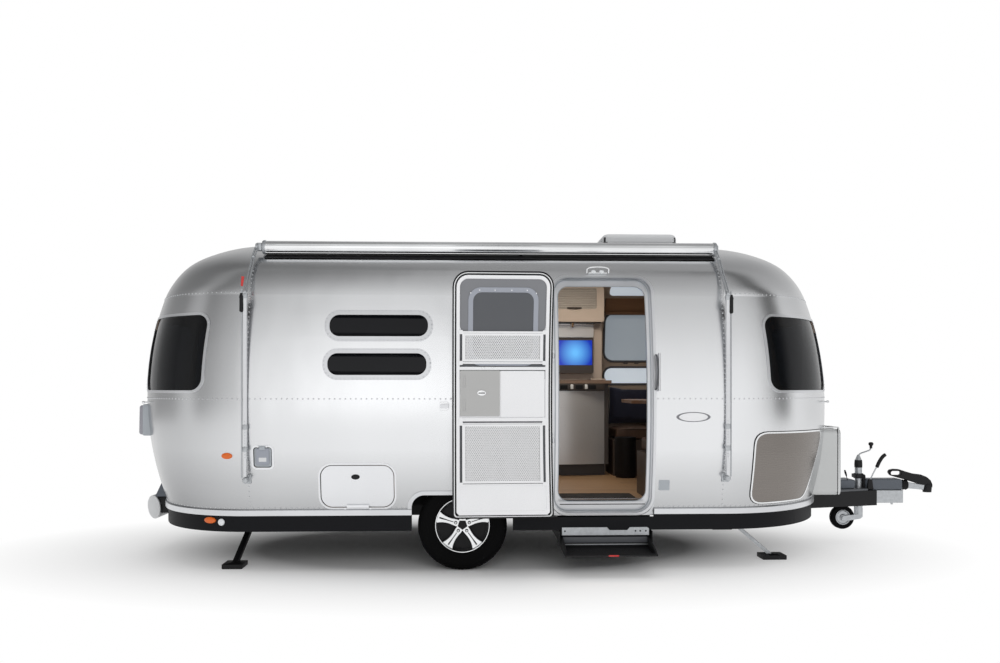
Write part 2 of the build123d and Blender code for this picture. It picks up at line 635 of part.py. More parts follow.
RIM_BARREL = 8.0
FACE_OUT = TRACK / 2 + 62.0
FACE_THICKNESS = 22.0
WHEEL_SPOKES = 5
for side, name in ((RIGHT, "right"), (LEFT, "left")):
    middle = TRACK / 2
    with BuildPart() as wheel:
        seat = RIM_SEAT_DIAMETER / 2 - SEAT
        flange = RIM_FLANGE_DIAMETER / 2
        with BuildSketch(Plane.XY.offset(up(WHEEL_RADIUS))):
            with BuildLine():
                Polyline((fore(seat - RIM_BARREL), side * (middle - 86)), (fore(flange), side * (middle - 86)),
                         (fore(flange), side * (middle - 80)), (fore(seat), side * (middle - 76)),
                         (fore(seat), side * (middle + 76)), (fore(flange), side * (middle + 80)),
                         (fore(flange), side * (middle + 86)), (fore(seat - RIM_BARREL), side * (middle + 86)),
                         (fore(seat - RIM_BARREL), side * (middle - 86)))
            make_face()
        spin = Axis((fore(0), 0, up(WHEEL_RADIUS)), (0, 1, 0))
        revolve(axis=spin)
        rod((0, side * HUB_INNER, WHEEL_RADIUS), (0, side * (FACE_OUT - 30), WHEEL_RADIUS), 72)
        rod((0, side * HUB_INNER, WHEEL_RADIUS), (0, side * (HUB_INNER + 70), WHEEL_RADIUS), 116)
        boss = (side * (FACE_OUT - FACE_THICKNESS - 20), side * (FACE_OUT - 12))
        rod((0, boss[0], WHEEL_RADIUS), (0, boss[1], WHEEL_RADIUS), 74)
        with BuildSketch(Plane.XZ.offset(-side * FACE_OUT)) as face:
            with Locations((fore(0), up(WHEEL_RADIUS))):
                Circle(seat - 2)
                with PolarLocations(138, WHEEL_SPOKES, start_angle=90 + 36):
                    RectangleRounded(78, 82, 18, mode=Mode.SUBTRACT)
        extrude(face.sketch, amount=side * FACE_THICKNESS)
        stub = (side * (HUB_INNER - 1), side * 970)
        rod((0, stub[0], WHEEL_RADIUS), (0, stub[1], WHEEL_RADIUS), STUB_RADIUS + PLAY, Mode.SUBTRACT)
    save(wheel, f"wheel_{name}")
    with BuildPart() as tyre:
        tread = TYRE_WIDTH / 2
        bead = RIM_SEAT_DIAMETER / 2
        with BuildSketch(Plane.XY.offset(up(WHEEL_RADIUS))):
            with BuildLine():
                Line((fore(bead), side * (middle - 76)), (fore(bead), side * (middle + 76)))
                for across in (1, -1):
                    foot = (fore(bead + 10), side * (middle + across * 79))
                    bulge = (fore(bead + 66), side * (middle + across * tread))
                    shoulder = (fore(WHEEL_RADIUS - 18), side * (middle + across * 90))
                    corner = (fore(WHEEL_RADIUS - 5), side * (middle + across * 83))
                    crown = (fore(WHEEL_RADIUS), side * (middle + across * 72))
                    Line((fore(bead), side * (middle + across * 76)), foot)
                    ThreePointArc(foot, bulge, shoulder)
                    ThreePointArc(shoulder, corner, crown)
                Line((fore(WHEEL_RADIUS), side * (middle + 72)), (fore(WHEEL_RADIUS), side * (middle - 72)))
            make_face()
        revolve(axis=spin)
    save(tyre, f"tyre_{name}")

# ---- coupling, jockey wheel and drawbar -----------------------------------------------
HITCH_HEIGHT = 515.0        # centre line of the overrun shaft
HITCH_START = 3500.0
HITCH_END = 3866.0
SHAFT_END = 3922.0
HEAD_END = 4165.0
SOCKET_WALL = 7.0

with BuildPart() as overrun_hitch:
    block((HITCH_START + 62, HITCH_END), (-48, 48), (CHASSIS_LOW + 14, HITCH_HEIGHT + 42))
    block((HITCH_START + 62, HITCH_END - 60), (-95, 95), (CHASSIS_TOP, CHASSIS_TOP + 10))
    rod((HITCH_END, 0, HITCH_HEIGHT), (SHAFT_END, 0, HITCH_HEIGHT), 42)
    drawbar_beams(SEAT, Mode.SUBTRACT)
save(overrun_hitch, "overrun_hitch")

with BuildPart() as coupling_head:
    rod((SHAFT_END, 0, HITCH_HEIGHT), (SHAFT_END + 90, 0, HITCH_HEIGHT), 34)
    socket_radius = BALL_DIAMETER / 2 + 0.1
    with Locations((0, 0, 22)):
        Cylinder(socket_radius + SOCKET_WALL + 8, 88)
    block((SHAFT_END + 60, AXLE_TO_BALL), (-30, 30), (BALL_HEIGHT + 28, HITCH_HEIGHT + 30))
    block((AXLE_TO_BALL - 10, HEAD_END), (-22, 22), (BALL_HEIGHT + 10, BALL_HEIGHT + 54))
    rod((AXLE_TO_BALL, 0, BALL_HEIGHT - 30), (AXLE_TO_BALL, 0, BALL_HEIGHT + 22), socket_radius,
        Mode.SUBTRACT)
    with Locations((-40, 0, 78)):
        Box(60, 44, 34)
    rod((AXLE_TO_BALL - 60, 0, BALL_HEIGHT + 98), (AXLE_TO_BALL - 285, 0, BALL_HEIGHT + 138), 11)
    rod((AXLE_TO_BALL - 280, 0, BALL_HEIGHT + 138), (AXLE_TO_BALL - 356, 0, BALL_HEIGHT + 148), 17)
save(coupling_head, "coupling_head")

COVER_START = FRONT_SEAM + 1046.0
with BuildPart() as drawbar_cover:
    with BuildSketch(Plane.XY.offset(up(CHASSIS_TOP))):
        with BuildLine():
            Polyline((fore(COVER_START), 252), (fore(HITCH_START + 40), 100),
                     (fore(HITCH_START + 40), -100), (fore(COVER_START), -252), (fore(COVER_START), 252))
        make_face()
    extrude(amount=16)
    rod((HITCH_START, 0, CHASSIS_LOW), (HITCH_START, 0, CHASSIS_TOP + 40), 36, Mode.SUBTRACT)
save(drawbar_cover, "drawbar_cover")

LEVER_X = 3569.0
LEVER_Y = -66.0
with BuildPart() as handbrake_lever:
    block((LEVER_X - 6, LEVER_X + 34), (LEVER_Y - 6, LEVER_Y + 6), (CHASSIS_TOP + 10, CHASSIS_TOP + 66))
    rod((LEVER_X, LEVER_Y, CHASSIS_TOP + 50), (LEVER_X + 92, LEVER_Y, CHASSIS_TOP + 190), 10)
    rod((LEVER_X + 84, LEVER_Y, CHASSIS_TOP + 178), (LEVER_X + 170, LEVER_Y, CHASSIS_TOP + 330), 17)
save(handbrake_lever, "handbrake_lever")

JOCKEY_X = HITCH_START
JOCKEY_TUBE = 24.0
JOCKEY_WHEEL_RADIUS = 105.0
JOCKEY_LIFT = 112.0         # the wheel's height off the ground, drawn up for towing
JOCKEY_TRAIL = 150.0
JOCKEY_TRAVEL = 105.0
JOCKEY_AXLE_HEIGHT = JOCKEY_LIFT + JOCKEY_WHEEL_RADIUS
FORK_TOP = JOCKEY_AXLE_HEIGHT + 111.0
with BuildPart() as jockey_clamp:
    rod((JOCKEY_X, 0, CHASSIS_LOW + 18), (JOCKEY_X, 0, CHASSIS_TOP + 250), JOCKEY_TUBE + 5)
    rod((JOCKEY_X, 0, CHASSIS_LOW + 10), (JOCKEY_X, 0, CHASSIS_TOP + 238), JOCKEY_TUBE + PLAY, Mode.SUBTRACT)
    block((JOCKEY_X - 60, JOCKEY_X + 60), (-74, 74), (CHASSIS_TOP - 62, CHASSIS_TOP - 34))
    drawbar_beams(SEAT, Mode.SUBTRACT)
    rod((JOCKEY_X, 0, CHASSIS_LOW), (JOCKEY_X, 0, CHASSIS_TOP + 238), JOCKEY_TUBE + PLAY, Mode.SUBTRACT)
    rod((JOCKEY_X, 0, CHASSIS_TOP + 232), (JOCKEY_X, 0, CHASSIS_TOP + 262), JOCKEY_TUBE + 12)
    block((JOCKEY_X - 6, JOCKEY_X + 90), (-8, 8), (CHASSIS_TOP + 258, CHASSIS_TOP + 274))
    rod((JOCKEY_X + 86, 0, CHASSIS_TOP + 262), (JOCKEY_X + 104, 0, CHASSIS_TOP + 395), 7)
    with Locations((fore(JOCKEY_X + 106), 0, up(CHASSIS_TOP + 404))):
        Sphere(19)
save(jockey_clamp, "jockey_clamp")

KING_PIN = 8.0
with BuildPart() as jockey_tube:
    rod((JOCKEY_X, 0, FORK_TOP + 2), (JOCKEY_X, 0, CHASSIS_TOP + 70), JOCKEY_TUBE)
    rod((JOCKEY_X, 0, FORK_TOP - 22), (JOCKEY_X, 0, FORK_TOP + 2), KING_PIN)
    rod((JOCKEY_X, 0, FORK_TOP - 26), (JOCKEY_X, 0, FORK_TOP - 19), KING_PIN + 6)
save(jockey_tube, "jockey_tube")

with BuildPart() as jockey_fork:
    block((JOCKEY_X - 60, JOCKEY_X + 24), (-42, 42), (FORK_TOP - 14, FORK_TOP - 2))
    for side in (RIGHT, LEFT):
        with BuildSketch(Plane.XZ.offset(-side * 39)) as cheek:
            with BuildLine():
                Polyline((fore(JOCKEY_X + 24), up(FORK_TOP - 2)), (fore(JOCKEY_X - 60), up(FORK_TOP - 2)),
                         (fore(JOCKEY_X - JOCKEY_TRAIL - 18), up(JOCKEY_AXLE_HEIGHT - 12)),
                         (fore(JOCKEY_X - JOCKEY_TRAIL + 18), up(JOCKEY_AXLE_HEIGHT - 12)),
                         (fore(JOCKEY_X + 24), up(FORK_TOP - 2)))
            make_face()
        extrude(cheek.sketch, amount=3, both=True)
    hub = (JOCKEY_X - JOCKEY_TRAIL, JOCKEY_AXLE_HEIGHT)
    rod((hub[0], -42, hub[1]), (hub[0], 42, hub[1]), 8)
    rod((JOCKEY_X, 0, FORK_TOP - 20), (JOCKEY_X, 0, FORK_TOP + 5), KING_PIN + PLAY, Mode.SUBTRACT)
save(jockey_fork, "jockey_fork")

with BuildPart() as jockey_wheel:
    hub = (JOCKEY_X - JOCKEY_TRAIL, JOCKEY_AXLE_HEIGHT)
    rod((hub[0], -28, hub[1]), (hub[0], 28, hub[1]), JOCKEY_WHEEL_RADIUS)
    fillet(jockey_wheel.edges().filter_by(GeomType.CIRCLE), 14)
    for low in (-30, 20):
        rod((hub[0], low, hub[1]), (hub[0], low + 10, hub[1]), 68, Mode.SUBTRACT)
    rod((hub[0], -30, hub[1]), (hub[0], 30, hub[1]), 24)
    rod((hub[0], -40, hub[1]), (hub[0], 40, hub[1]), 8 + PLAY, Mode.SUBTRACT)
save(jockey_wheel, "jockey_wheel")

# ---- corner steadies ------------------------------------------------------------------
# X and Y of the pivot, direction of the leg's lean in plan (degrees from straight ahead)
STEADIES = {
    "steady_front_right": (2150.0, -640.0, -14.0),
    "steady_front_left": (2150.0, 640.0, 14.0),
    "steady_rear_right": (-1675.0, -590.0, -100.0),
    "steady_rear_left": (-1675.0, 590.0, 100.0),
}
STEADY_PIVOT_HEIGHT = 300.0
STEADY_REACH = 330.0
STEADY_PIN = 8.0
STEADY_LEG = (44.0, 26.0)
STEADY_FOOT = (150.0, 110.0, 24.0)

hangers = []
for name, (x, y, heading) in STEADIES.items():
    with BuildPart() as steady:
        ahead = Vector(math.cos(math.radians(heading)), math.sin(math.radians(heading)), 0)
        pivot = Vector(x, y, STEADY_PIVOT_HEIGHT)
        foot = pivot + ahead * STEADY_REACH
        along = Vector(foot.X - pivot.X, foot.Y - pivot.Y, STEADY_FOOT[2] - 4 - STEADY_PIVOT_HEIGHT)
        across = Vector(-ahead.Y, ahead.X, 0)
        leg_plane = Plane((fore(pivot.X), pivot.Y, up(pivot.Z)), x_dir=across, z_dir=along)
        with BuildSketch(leg_plane) as section:
            Rectangle(STEADY_LEG[0], STEADY_LEG[1])
        extrude(section.sketch, amount=along.length)
        pin_end = across * (STEADY_LEG[0] / 2)
        start, stop = pivot - pin_end, pivot + pin_end
        rod((start.X, start.Y, start.Z), (stop.X, stop.Y, stop.Z), 18)
        far, near = pivot - pin_end * 1.2, pivot + pin_end * 1.2
        foot_place = Location((fore(foot.X), foot.Y, up(STEADY_FOOT[2] / 2)), (0, 0, heading))
        with Locations(foot_place):
            Box(*STEADY_FOOT)
        rod((far.X, far.Y, far.Z), (near.X, near.Y, near.Z), STEADY_PIN + PLAY, Mode.SUBTRACT)
    save(steady, name)
    with BuildPart() as hanger:
        for sign in (-1, 1):
            middle = pivot + across * (sign * (STEADY_LEG[0] / 2 + 8))
            plate_low = STEADY_PIVOT_HEIGHT - 20
            plate_middle = up((plate_low + BODY_BOTTOM) / 2)
            with Locations(Location((fore(middle.X), middle.Y, plate_middle), (0, 0, heading))):
                Box(60, 6, BODY_BOTTOM - plate_low)
        top = Location((fore(pivot.X), pivot.Y, up(BODY_BOTTOM - 5)), (0, 0, heading))
        with Locations(top):
            Box(90, STEADY_LEG[0] + 34, 10)
        reach = across * (STEADY_LEG[0] / 2 + 14)
        start, stop = pivot - reach, pivot + reach
        rod((start.X, start.Y, start.Z), (stop.X, stop.Y, stop.Z), STEADY_PIN)
    hangers.append(hanger.part)

# ---- entry step -----------------------------------------------------------------------
STEP_X = 1070.0
STEP_WIDTH = 672.0
STEP_HEIGHT = 178.0
STEP_OUT = -1420.0
STEP_DEPTH = 250.0
STEP_TRAVEL = 230.0
with BuildPart() as step_frame:
    half = STEP_WIDTH / 2
    for side in (RIGHT, LEFT):
        edge = sorted((STEP_X + side * (half + 8), STEP_X + side * (half + 14)))
        block(edge, (-1050, -560), (212, CHASSIS_TOP))
        block(edge, (-1150, -1050), (212, SKIRT_BOTTOM - 6))
        runner = sorted((STEP_X + side * (half - 20), STEP_X + side * (half + 14)))
        block(runner, (STEP_OUT + STEP_DEPTH + STEP_TRAVEL + 15, -560), (212, 218))
    block((STEP_X - half - 14, STEP_X + half + 14), (-1066, -1060), (258, SKIRT_BOTTOM + 76))
    block((STEP_X - half - 14, STEP_X + half + 14), (-1060, -560), (SKIRT_BOTTOM + 70, SKIRT_BOTTOM + 76))

with BuildPart() as entry_step:
    for side in (RIGHT, LEFT):
        edge = sorted((STEP_X + side * (half - 6), STEP_X + side * half))
        block(edge, (STEP_OUT, -830), (218.3, 246))
        block(edge, (STEP_OUT, STEP_OUT + STEP_DEPTH), (STEP_HEIGHT - 24, 246))
    block((STEP_X - half, STEP_X + half), (STEP_OUT, STEP_OUT + STEP_DEPTH), (STEP_HEIGHT - 24, STEP_HEIGHT))
    block((STEP_X - half, STEP_X + half), (-846, -840), (218.3, 246))
save(entry_step, "entry_step")

# ---- chassis --------------------------------------------------------------------------
OUTRIGGERS = (-1350.0, 600.0, 1500.0)
RAIL_INNER = CHASSIS_SPREAD - CHASSIS_WIDTH / 2
RAIL_OUTER = CHASSIS_SPREAD + CHASSIS_WIDTH / 2


def main_rails(grow=0.0, mode=Mode.ADD):
    """The two long rails under the body."""
    for side in (RIGHT, LEFT):
        rail = sorted((side * (RAIL_INNER - grow), side * (RAIL_OUTER + grow)))
        block((CHASSIS_REAR, DRAWBAR_START + 60 + grow), rail, (CHASSIS_LOW - grow, CHASSIS_TOP + grow), mode)


with BuildPart() as rails:
    main_rails()
with BuildPart() as beams:
    drawbar_beams()
    main_rails(SEAT, Mode.SUBTRACT)
members = [rails.part, beams.part]
for x in CROSS_MEMBERS:
    with BuildPart() as member:
        block((x - 25, x + 25), (-RAIL_INNER + SEAT, RAIL_INNER - SEAT), (CHASSIS_LOW + 20, CHASSIS_TOP - 1))
    members.append(member.part)
for x in OUTRIGGERS:
    for side in (RIGHT, LEFT):
        with BuildPart() as member:
            edges = sorted((side * (RAIL_OUTER + SEAT), side * 1085))
            block((x - 20, x + 20), edges, (CHASSIS_TOP - 70, CHASSIS_TOP - 1))
        members.append(member.part)
with BuildPart() as chassis:
    joined(members)
    joined(hangers)
    add(step_frame.part)
save(chassis, "chassis")

# ---- bumper and lamps -----------------------------------------------------------------
with BuildPart() as rear_bumper:
    block((BUMPER_REAR, BUMPER_REAR + BUMPER_DEPTH), (-BUMPER_HALF, BUMPER_HALF), (BUMPER_LOW, BUMPER_HIGH))
    fillet(rear_bumper.edges().filter_by(Axis.Y), 40)
    bumper_arms()
save(rear_bumper, "rear_bumper")


lamps = []
for side in (RIGHT, LEFT):
    with BuildPart() as lamp:
        block((-2640, -2380), sorted((side * 420, side * 560)), (985, 1235))
        fillet(lamp.edges().filter_by(Axis.X), 30)
        end_loft("rear", -SEAT, WALL_HEIGHTS, Mode.SUBTRACT)
    lamps.append(lamp.part.solids().sort_by(Axis.X)[0])

with BuildPart() as number_plate:
    block((-2640, -2300), (-260, 260), (640, 755))
    end_loft("rear", -SEAT, WALL_HEIGHTS, Mode.SUBTRACT)
    block((-2700, -2592), (-300, 300), (600, 800), Mode.SUBTRACT)
save(number_plate, "number_plate")

LAMP_X = 1021.0
with BuildPart() as door_lamp:
    lamp_low = DOORWAY_TOP + FRAME_FLANGE + 12
    side_slab(RIGHT, -46, -SEAT, LAMP_X - 88, LAMP_X + 88, lamp_low, WALL_TOP + 30)
lamps.append(door_lamp.part)
with BuildPart() as lamp_set:
    joined(lamps)
save(lamp_set, "lamps")

GRAB_X = 1448.0
with BuildPart() as grab_handle:
    skin_y = -reach_at(SIDE, 1480, -SEAT)
    for height in (1358, 1602):
        foot_y = -reach_at(SIDE, height, -SEAT - 1)
        block((GRAB_X - 10, GRAB_X + 10), (skin_y - 38, foot_y), (height - 10, height + 10))
    rod((GRAB_X, skin_y - 42, 1340), (GRAB_X, skin_y - 42, 1620), 9)

CATCH_X = HINGE_X - (LEAF_WIDTH + (DOORWAY_X - LEAF_WIDTH / 2 - HINGE_X)) - 62
with BuildPart() as door_catch:
    catch_y = -reach_at(SIDE, 1220, -SEAT)
    block((CATCH_X - 28, CATCH_X + 28), (catch_y - 5, catch_y), (1200, 1262))
    block((CATCH_X - 24, CATCH_X - 4), (catch_y - 76, catch_y - 4), (1216, 1246))
    block((CATCH_X - 24, CATCH_X + 34), (catch_y - 82, catch_y - 74), (1216, 1246))
    side_slab(RIGHT, -SEAT, 200, CATCH_X - 60, CATCH_X + 60, 1150, 1300, Mode.SUBTRACT)
with BuildPart() as door_fittings:
    joined((grab_handle.part, door_catch.part))
save(door_fittings, "door_fittings")

# ---- gas locker and stone guards ------------------------------------------------------
LOCKER_HALF = 545.0
LOCKER_LOW = CHASSIS_TOP + 18.0
LOCKER_HIGH = 1022.0
LOCKER_FRONT = 3106.0
LID_THICKNESS = 18.0
LOCKER_SKIN = 14.0
with BuildPart() as gas_locker:
    with BuildSketch(Plane.YZ.offset(fore(2500))):
        with Locations((0, up((LOCKER_LOW + LOCKER_HIGH) / 2))):
            RectangleRounded(2 * LOCKER_HALF, LOCKER_HIGH - LOCKER_LOW, 40)
            RectangleRounded(2 * (LOCKER_HALF - LOCKER_SKIN), LOCKER_HIGH - LOCKER_LOW - 2 * LOCKER_SKIN, 28,
                             mode=Mode.SUBTRACT)
    extrude(amount=LOCKER_FRONT - LID_THICKNESS - 6 - 2500)
    end_loft("front", -SEAT, WALL_HEIGHTS, Mode.SUBTRACT)
    LID_AXIS = (LOCKER_FRONT - LID_THICKNESS + 2, LOCKER_HIGH + 12)
    for y in (-430, -330, 330, 430):
        block((LID_AXIS[0] - 24, LID_AXIS[0] - 10), (y - 5, y + 5), (LOCKER_HIGH - 4, LID_AXIS[1] + 5))
        block((LID_AXIS[0] - 24, LID_AXIS[0] + 4), (y - 5, y + 5), (LID_AXIS[1] - 5, LID_AXIS[1] + 5))
    for y in (-380, 380):
        rod((LID_AXIS[0], y - 56, LID_AXIS[1]), (LID_AXIS[0], y + 56, LID_AXIS[1]), 3)
save(gas_locker, "gas_locker")

with BuildPart() as gas_locker_lid:
    with BuildSketch(Plane.YZ.offset(fore(LOCKER_FRONT - LID_THICKNESS))):
        with Locations((0, up((LOCKER_LOW + LOCKER_HIGH) / 2 + 1))):
            RectangleRounded(2 * LOCKER_HALF, LOCKER_HIGH - LOCKER_LOW - 6, 40)
    extrude(amount=LID_THICKNESS)
    for y in (-380, 380):
        rod((LID_AXIS[0], y - 40, LID_AXIS[1]), (LID_AXIS[0], y + 40, LID_AXIS[1]), 7)
        block((LID_AXIS[0] - 4, LID_AXIS[0] + 7), (y - 40, y + 40), (LOCKER_HIGH - 30, LID_AXIS[1]))
        rod((LID_AXIS[0], y - 45, LID_AXIS[1]), (LID_AXIS[0], y + 45, LID_AXIS[1]), 3 + PLAY, Mode.SUBTRACT)
save(gas_locker_lid, "gas_locker_lid")

guards = []
for side in (RIGHT, LEFT):
    with BuildPart() as guard:
        end_loft("front", -8, WALL_HEIGHTS)
        end_loft("front", -SEAT, WALL_HEIGHTS, Mode.SUBTRACT)
        first, last = (15, 60) if side == RIGHT else (120, 165)
        pane_prism("front", first, last, BODY_BOTTOM + 24, 1028, 70, 0, Mode.INTERSECT)
        block((2500, 3300), (-LOCKER_HALF - 4, LOCKER_HALF + 4), (300, 1200), Mode.SUBTRACT)
    guards.append(guard.part)
with BuildPart() as stone_guards:
    joined(guards)
save(stone_guards, "stone_guards")

# ---- awning ---------------------------------------------------------------------------
AWNING_FROM = -1509.0
AWNING_TO = 1955.0
AWNING_RADIUS = 49.0
AWNING_Y = -866.0
AWNING_HEIGHT = 2451.0
ARM_XS = (-1571.0, 1958.0)
ARM_Y = RIGHT * (SIDE[0] + 26.0)
ARM_FOOT = 690.0
ARM_HEAD = 2060.0

with BuildPart() as awning_roller:
    rod((AWNING_FROM, AWNING_Y, AWNING_HEIGHT), (AWNING_TO, AWNING_Y, AWNING_HEIGHT), AWNING_RADIUS)
    for x in (AWNING_FROM - 30, AWNING_TO):
        rod((x, AWNING_Y, AWNING_HEIGHT), (x + 30, AWNING_Y, AWNING_HEIGHT), AWNING_RADIUS + 6)

with BuildPart() as awning_rail:
    spans = profile_run(SIDE, -SEAT, WALL_TOP + 70, AWNING_HEIGHT - 12)
    proud = profile_run(SIDE, -14, WALL_TOP + 70, AWNING_HEIGHT - 12)
    with BuildSketch(Plane.YZ.offset(fore(AWNING_FROM))):
        with BuildLine():
            draw_run(proud, RIGHT)
            Line(place(proud[-1][2], RIGHT), place(spans[-1][2], RIGHT))
            draw_run(spans, RIGHT, backwards=True)
            Line(place(spans[0][0], RIGHT), place(proud[0][0], RIGHT))
        make_face()
    extrude(amount=AWNING_TO - AWNING_FROM)
    rod((AWNING_FROM - 10, AWNING_Y, AWNING_HEIGHT), (AWNING_TO + 10, AWNING_Y, AWNING_HEIGHT),
        AWNING_RADIUS + SEAT, Mode.SUBTRACT)
with BuildPart() as awning:
    joined((awning_roller.part, awning_rail.part))
save(awning, "awning")

arms = []
for x in ARM_XS:
    with BuildPart() as arm:
        skin_low = -reach_at(SIDE, ARM_FOOT, -SEAT)
        rod((x, ARM_Y - 14, ARM_FOOT), (x, ARM_Y - 14, ARM_HEAD), 14)
        block((x - 14, x + 14), (ARM_Y - 14, skin_low + 1), (ARM_FOOT - 12, ARM_FOOT + 24))
        block((x - 26, x + 26), (skin_low - 6, skin_low + 60), (ARM_FOOT - 30, ARM_FOOT + 40))
        rod((x, ARM_Y - 14, ARM_HEAD - 6), (x, AWNING_Y - AWNING_RADIUS - 62, AWNING_HEIGHT - 72), 12)
        rod((x, AWNING_Y - AWNING_RADIUS - 66, AWNING_HEIGHT - 76), (x, AWNING_Y - 22, AWNING_HEIGHT + 4), 13)
        side_slab(RIGHT, -SEAT, 300, x - 60, x + 60, ARM_FOOT - 80, CROWN_HEIGHT - 320, Mode.SUBTRACT)
        caps = (AWNING_FROM - 30 - SEAT, AWNING_TO + 30 + SEAT)
        rod((caps[0], AWNING_Y, AWNING_HEIGHT), (caps[1], AWNING_Y, AWNING_HEIGHT),
            AWNING_RADIUS + 6 + SEAT, Mode.SUBTRACT)
    arms.append(arm.part.solids().sort_by(SortBy.VOLUME)[-1])
with BuildPart() as awning_arms:
    joined(arms)
save(awning_arms, "awning_arms")

# ---- roof vent ------------------------------------------------------------------------
VENT_SIZE = (640.0, 560.0)
VENT_TOP = 2668.0
VENT_BASE = CROWN_HEIGHT + 34.0
VENT_AXIS = (VENT_X - VENT_SIZE[0] / 2 - 10, VENT_BASE + 14)
with BuildPart() as roof_vent_base:
    flange = VENT_OPENING / 2 + 45
    block((VENT_X - flange, VENT_X + flange), (-275, 275), (CROWN_HEIGHT - 60, VENT_BASE))
    roof_radius = profile_arcs(SIDE)[2][2]
    roof_centre = CROWN_HEIGHT - roof_radius
    rod((-2600, 0, roof_centre), (2900, 0, roof_centre), roof_radius + SEAT, Mode.SUBTRACT)
    collar = VENT_OPENING / 2 - 1
    block((VENT_X - collar, VENT_X + collar), (-collar, collar), (CROWN_HEIGHT - WALL - 30, VENT_BASE))
    shaft = VENT_OPENING / 2 - 14
    block((VENT_X - shaft, VENT_X + shaft), (-shaft, shaft), (CROWN_HEIGHT - 200, VENT_BASE + 10),
          Mode.SUBTRACT)
    for y in (-150, 150):
        rod((VENT_AXIS[0], y - 40, VENT_AXIS[1]), (VENT_AXIS[0], y + 40, VENT_AXIS[1]), 4)
        for low in (y - 40, y + 28):
            block((VENT_AXIS[0] - 8, VENT_AXIS[0] + 70), (low, low + 12), (VENT_BASE - 26, VENT_BASE - 8))
            block((VENT_AXIS[0] - 8, VENT_AXIS[0] + 8), (low, low + 12), (VENT_BASE - 26, VENT_AXIS[1] + 6))
save(roof_vent_base, "roof_vent_base")

with BuildPart() as roof_vent:
    block((VENT_X - VENT_SIZE[0] / 2, VENT_X + VENT_SIZE[0] / 2), (-VENT_SIZE[1] / 2, VENT_SIZE[1] / 2),
          (VENT_BASE + SEAT, VENT_TOP))
    fillet(roof_vent.edges().filter_by(Axis.Z), 70)
    fillet(roof_vent.faces().sort_by(Axis.Z)[-1].edges(), 45)
    block((VENT_X - VENT_SIZE[0] / 2 + 14, VENT_X + VENT_SIZE[0] / 2 - 14),
          (-VENT_SIZE[1] / 2 + 14, VENT_SIZE[1] / 2 - 14), (VENT_BASE - 10, VENT_TOP - 30), Mode.SUBTRACT)
    block((VENT_X - 245, VENT_X + 245), (-235, 235), (VENT_BASE + SEAT, VENT_TOP - 25))
    for y in (-150, 150):
        rod((VENT_AXIS[0], y - 22, VENT_AXIS[1]), (VENT_AXIS[0], y + 22, VENT_AXIS[1]), 9)
        block((VENT_AXIS[0], VENT_AXIS[0] + 24), (y - 22, y + 22), (VENT_AXIS[1] - 4, VENT_AXIS[1] + 8))
        rod((VENT_AXIS[0], y - 30, VENT_AXIS[1]), (VENT_AXIS[0], y + 30, VENT_AXIS[1]), 4 + PLAY,
            Mode.SUBTRACT)
save(roof_vent, "roof_vent")

# ---- inside ---------------------------------------------------------------------------
KITCHEN = (450.0, 1380.0)
KITCHEN_FRONT = 680.0
WORKTOP_TOP = 1430.0
WORKTOP_THICKNESS = 30.0
KICK_HEIGHT = 110.0


def against_left_wall(x_from, x_to, front, low, high):
    """A cabinet whose back follows the left wall's inner curve."""
    back = profile_run(SIDE, WALL + SEAT, low, high)
    with BuildSketch(Plane.YZ.offset(fore(x_from))) as section:
        with BuildLine():
            draw_run(back, LEFT)
            Line(place(back[-1][2], LEFT), (front, up(high)))
            Line((front, up(high)), (front, up(low)))
            Line((front, up(low)), place(back[0][0], LEFT))
        make_face()
    extrude(section.sketch, amount=x_to - x_from)


with BuildPart() as kitchen_unit:
    against_left_wall(*KITCHEN, KITCHEN_FRONT, FLOOR_HEIGHT + KICK_HEIGHT, WORKTOP_TOP - WORKTOP_THICKNESS)
    kick = (FLOOR_HEIGHT, FLOOR_HEIGHT + KICK_HEIGHT + 5)
    block((KITCHEN[0] + 30, KITCHEN[1] - 30), (KITCHEN_FRONT + 45, 1000), kick)

FRONT_PANEL_BULGE = 70.0
with BuildPart() as kitchen_front:
    with BuildSketch(Plane.XY.offset(up(632))):
        with BuildLine():
            Line((fore(KITCHEN[0] + 10), KITCHEN_FRONT), (fore(KITCHEN[1] - 40), KITCHEN_FRONT))
            ThreePointArc((fore(KITCHEN[1] - 40), KITCHEN_FRONT),
                          (fore((KITCHEN[0] + KITCHEN[1]) / 2 - 15), KITCHEN_FRONT - FRONT_PANEL_BULGE),
                          (fore(KITCHEN[0] + 10), KITCHEN_FRONT))
        make_face()
    extrude(amount=698)
save(kitchen_front, "kitchen_front")

with BuildPart() as worktop:
    against_left_wall(KITCHEN[0] - 10, KITCHEN[1] + 18, KITCHEN_FRONT - FRONT_PANEL_BULGE - 10,
                      WORKTOP_TOP - WORKTOP_THICKNESS, WORKTOP_TOP)
save(worktop, "worktop")

with BuildPart() as overhead_locker:
    against_left_wall(KITCHEN[0], KITCHEN[1] - 60, 735, 1985, 2330)

with BuildPart() as tv:
    block((905, 1245), (800, 836), (1500, 1838))
    block((1035, 1115), (836, 900), (1560, 1700))
    block((1055, 1095), (860, 880), (WORKTOP_TOP, 1600))
    block((975, 1175), (800, 940), (WORKTOP_TOP, WORKTOP_TOP + 12))
save(tv, "tv")

with BuildPart() as end_panel:
    against_left_wall(KITCHEN[1] - 60, KITCHEN[1] - 36, 860, WORKTOP_TOP, 2330)
with BuildPart() as kitchen_cabinets:
    joined((kitchen_unit.part, overhead_locker.part, end_panel.part))
save(kitchen_cabinets, "kitchen_cabinets")

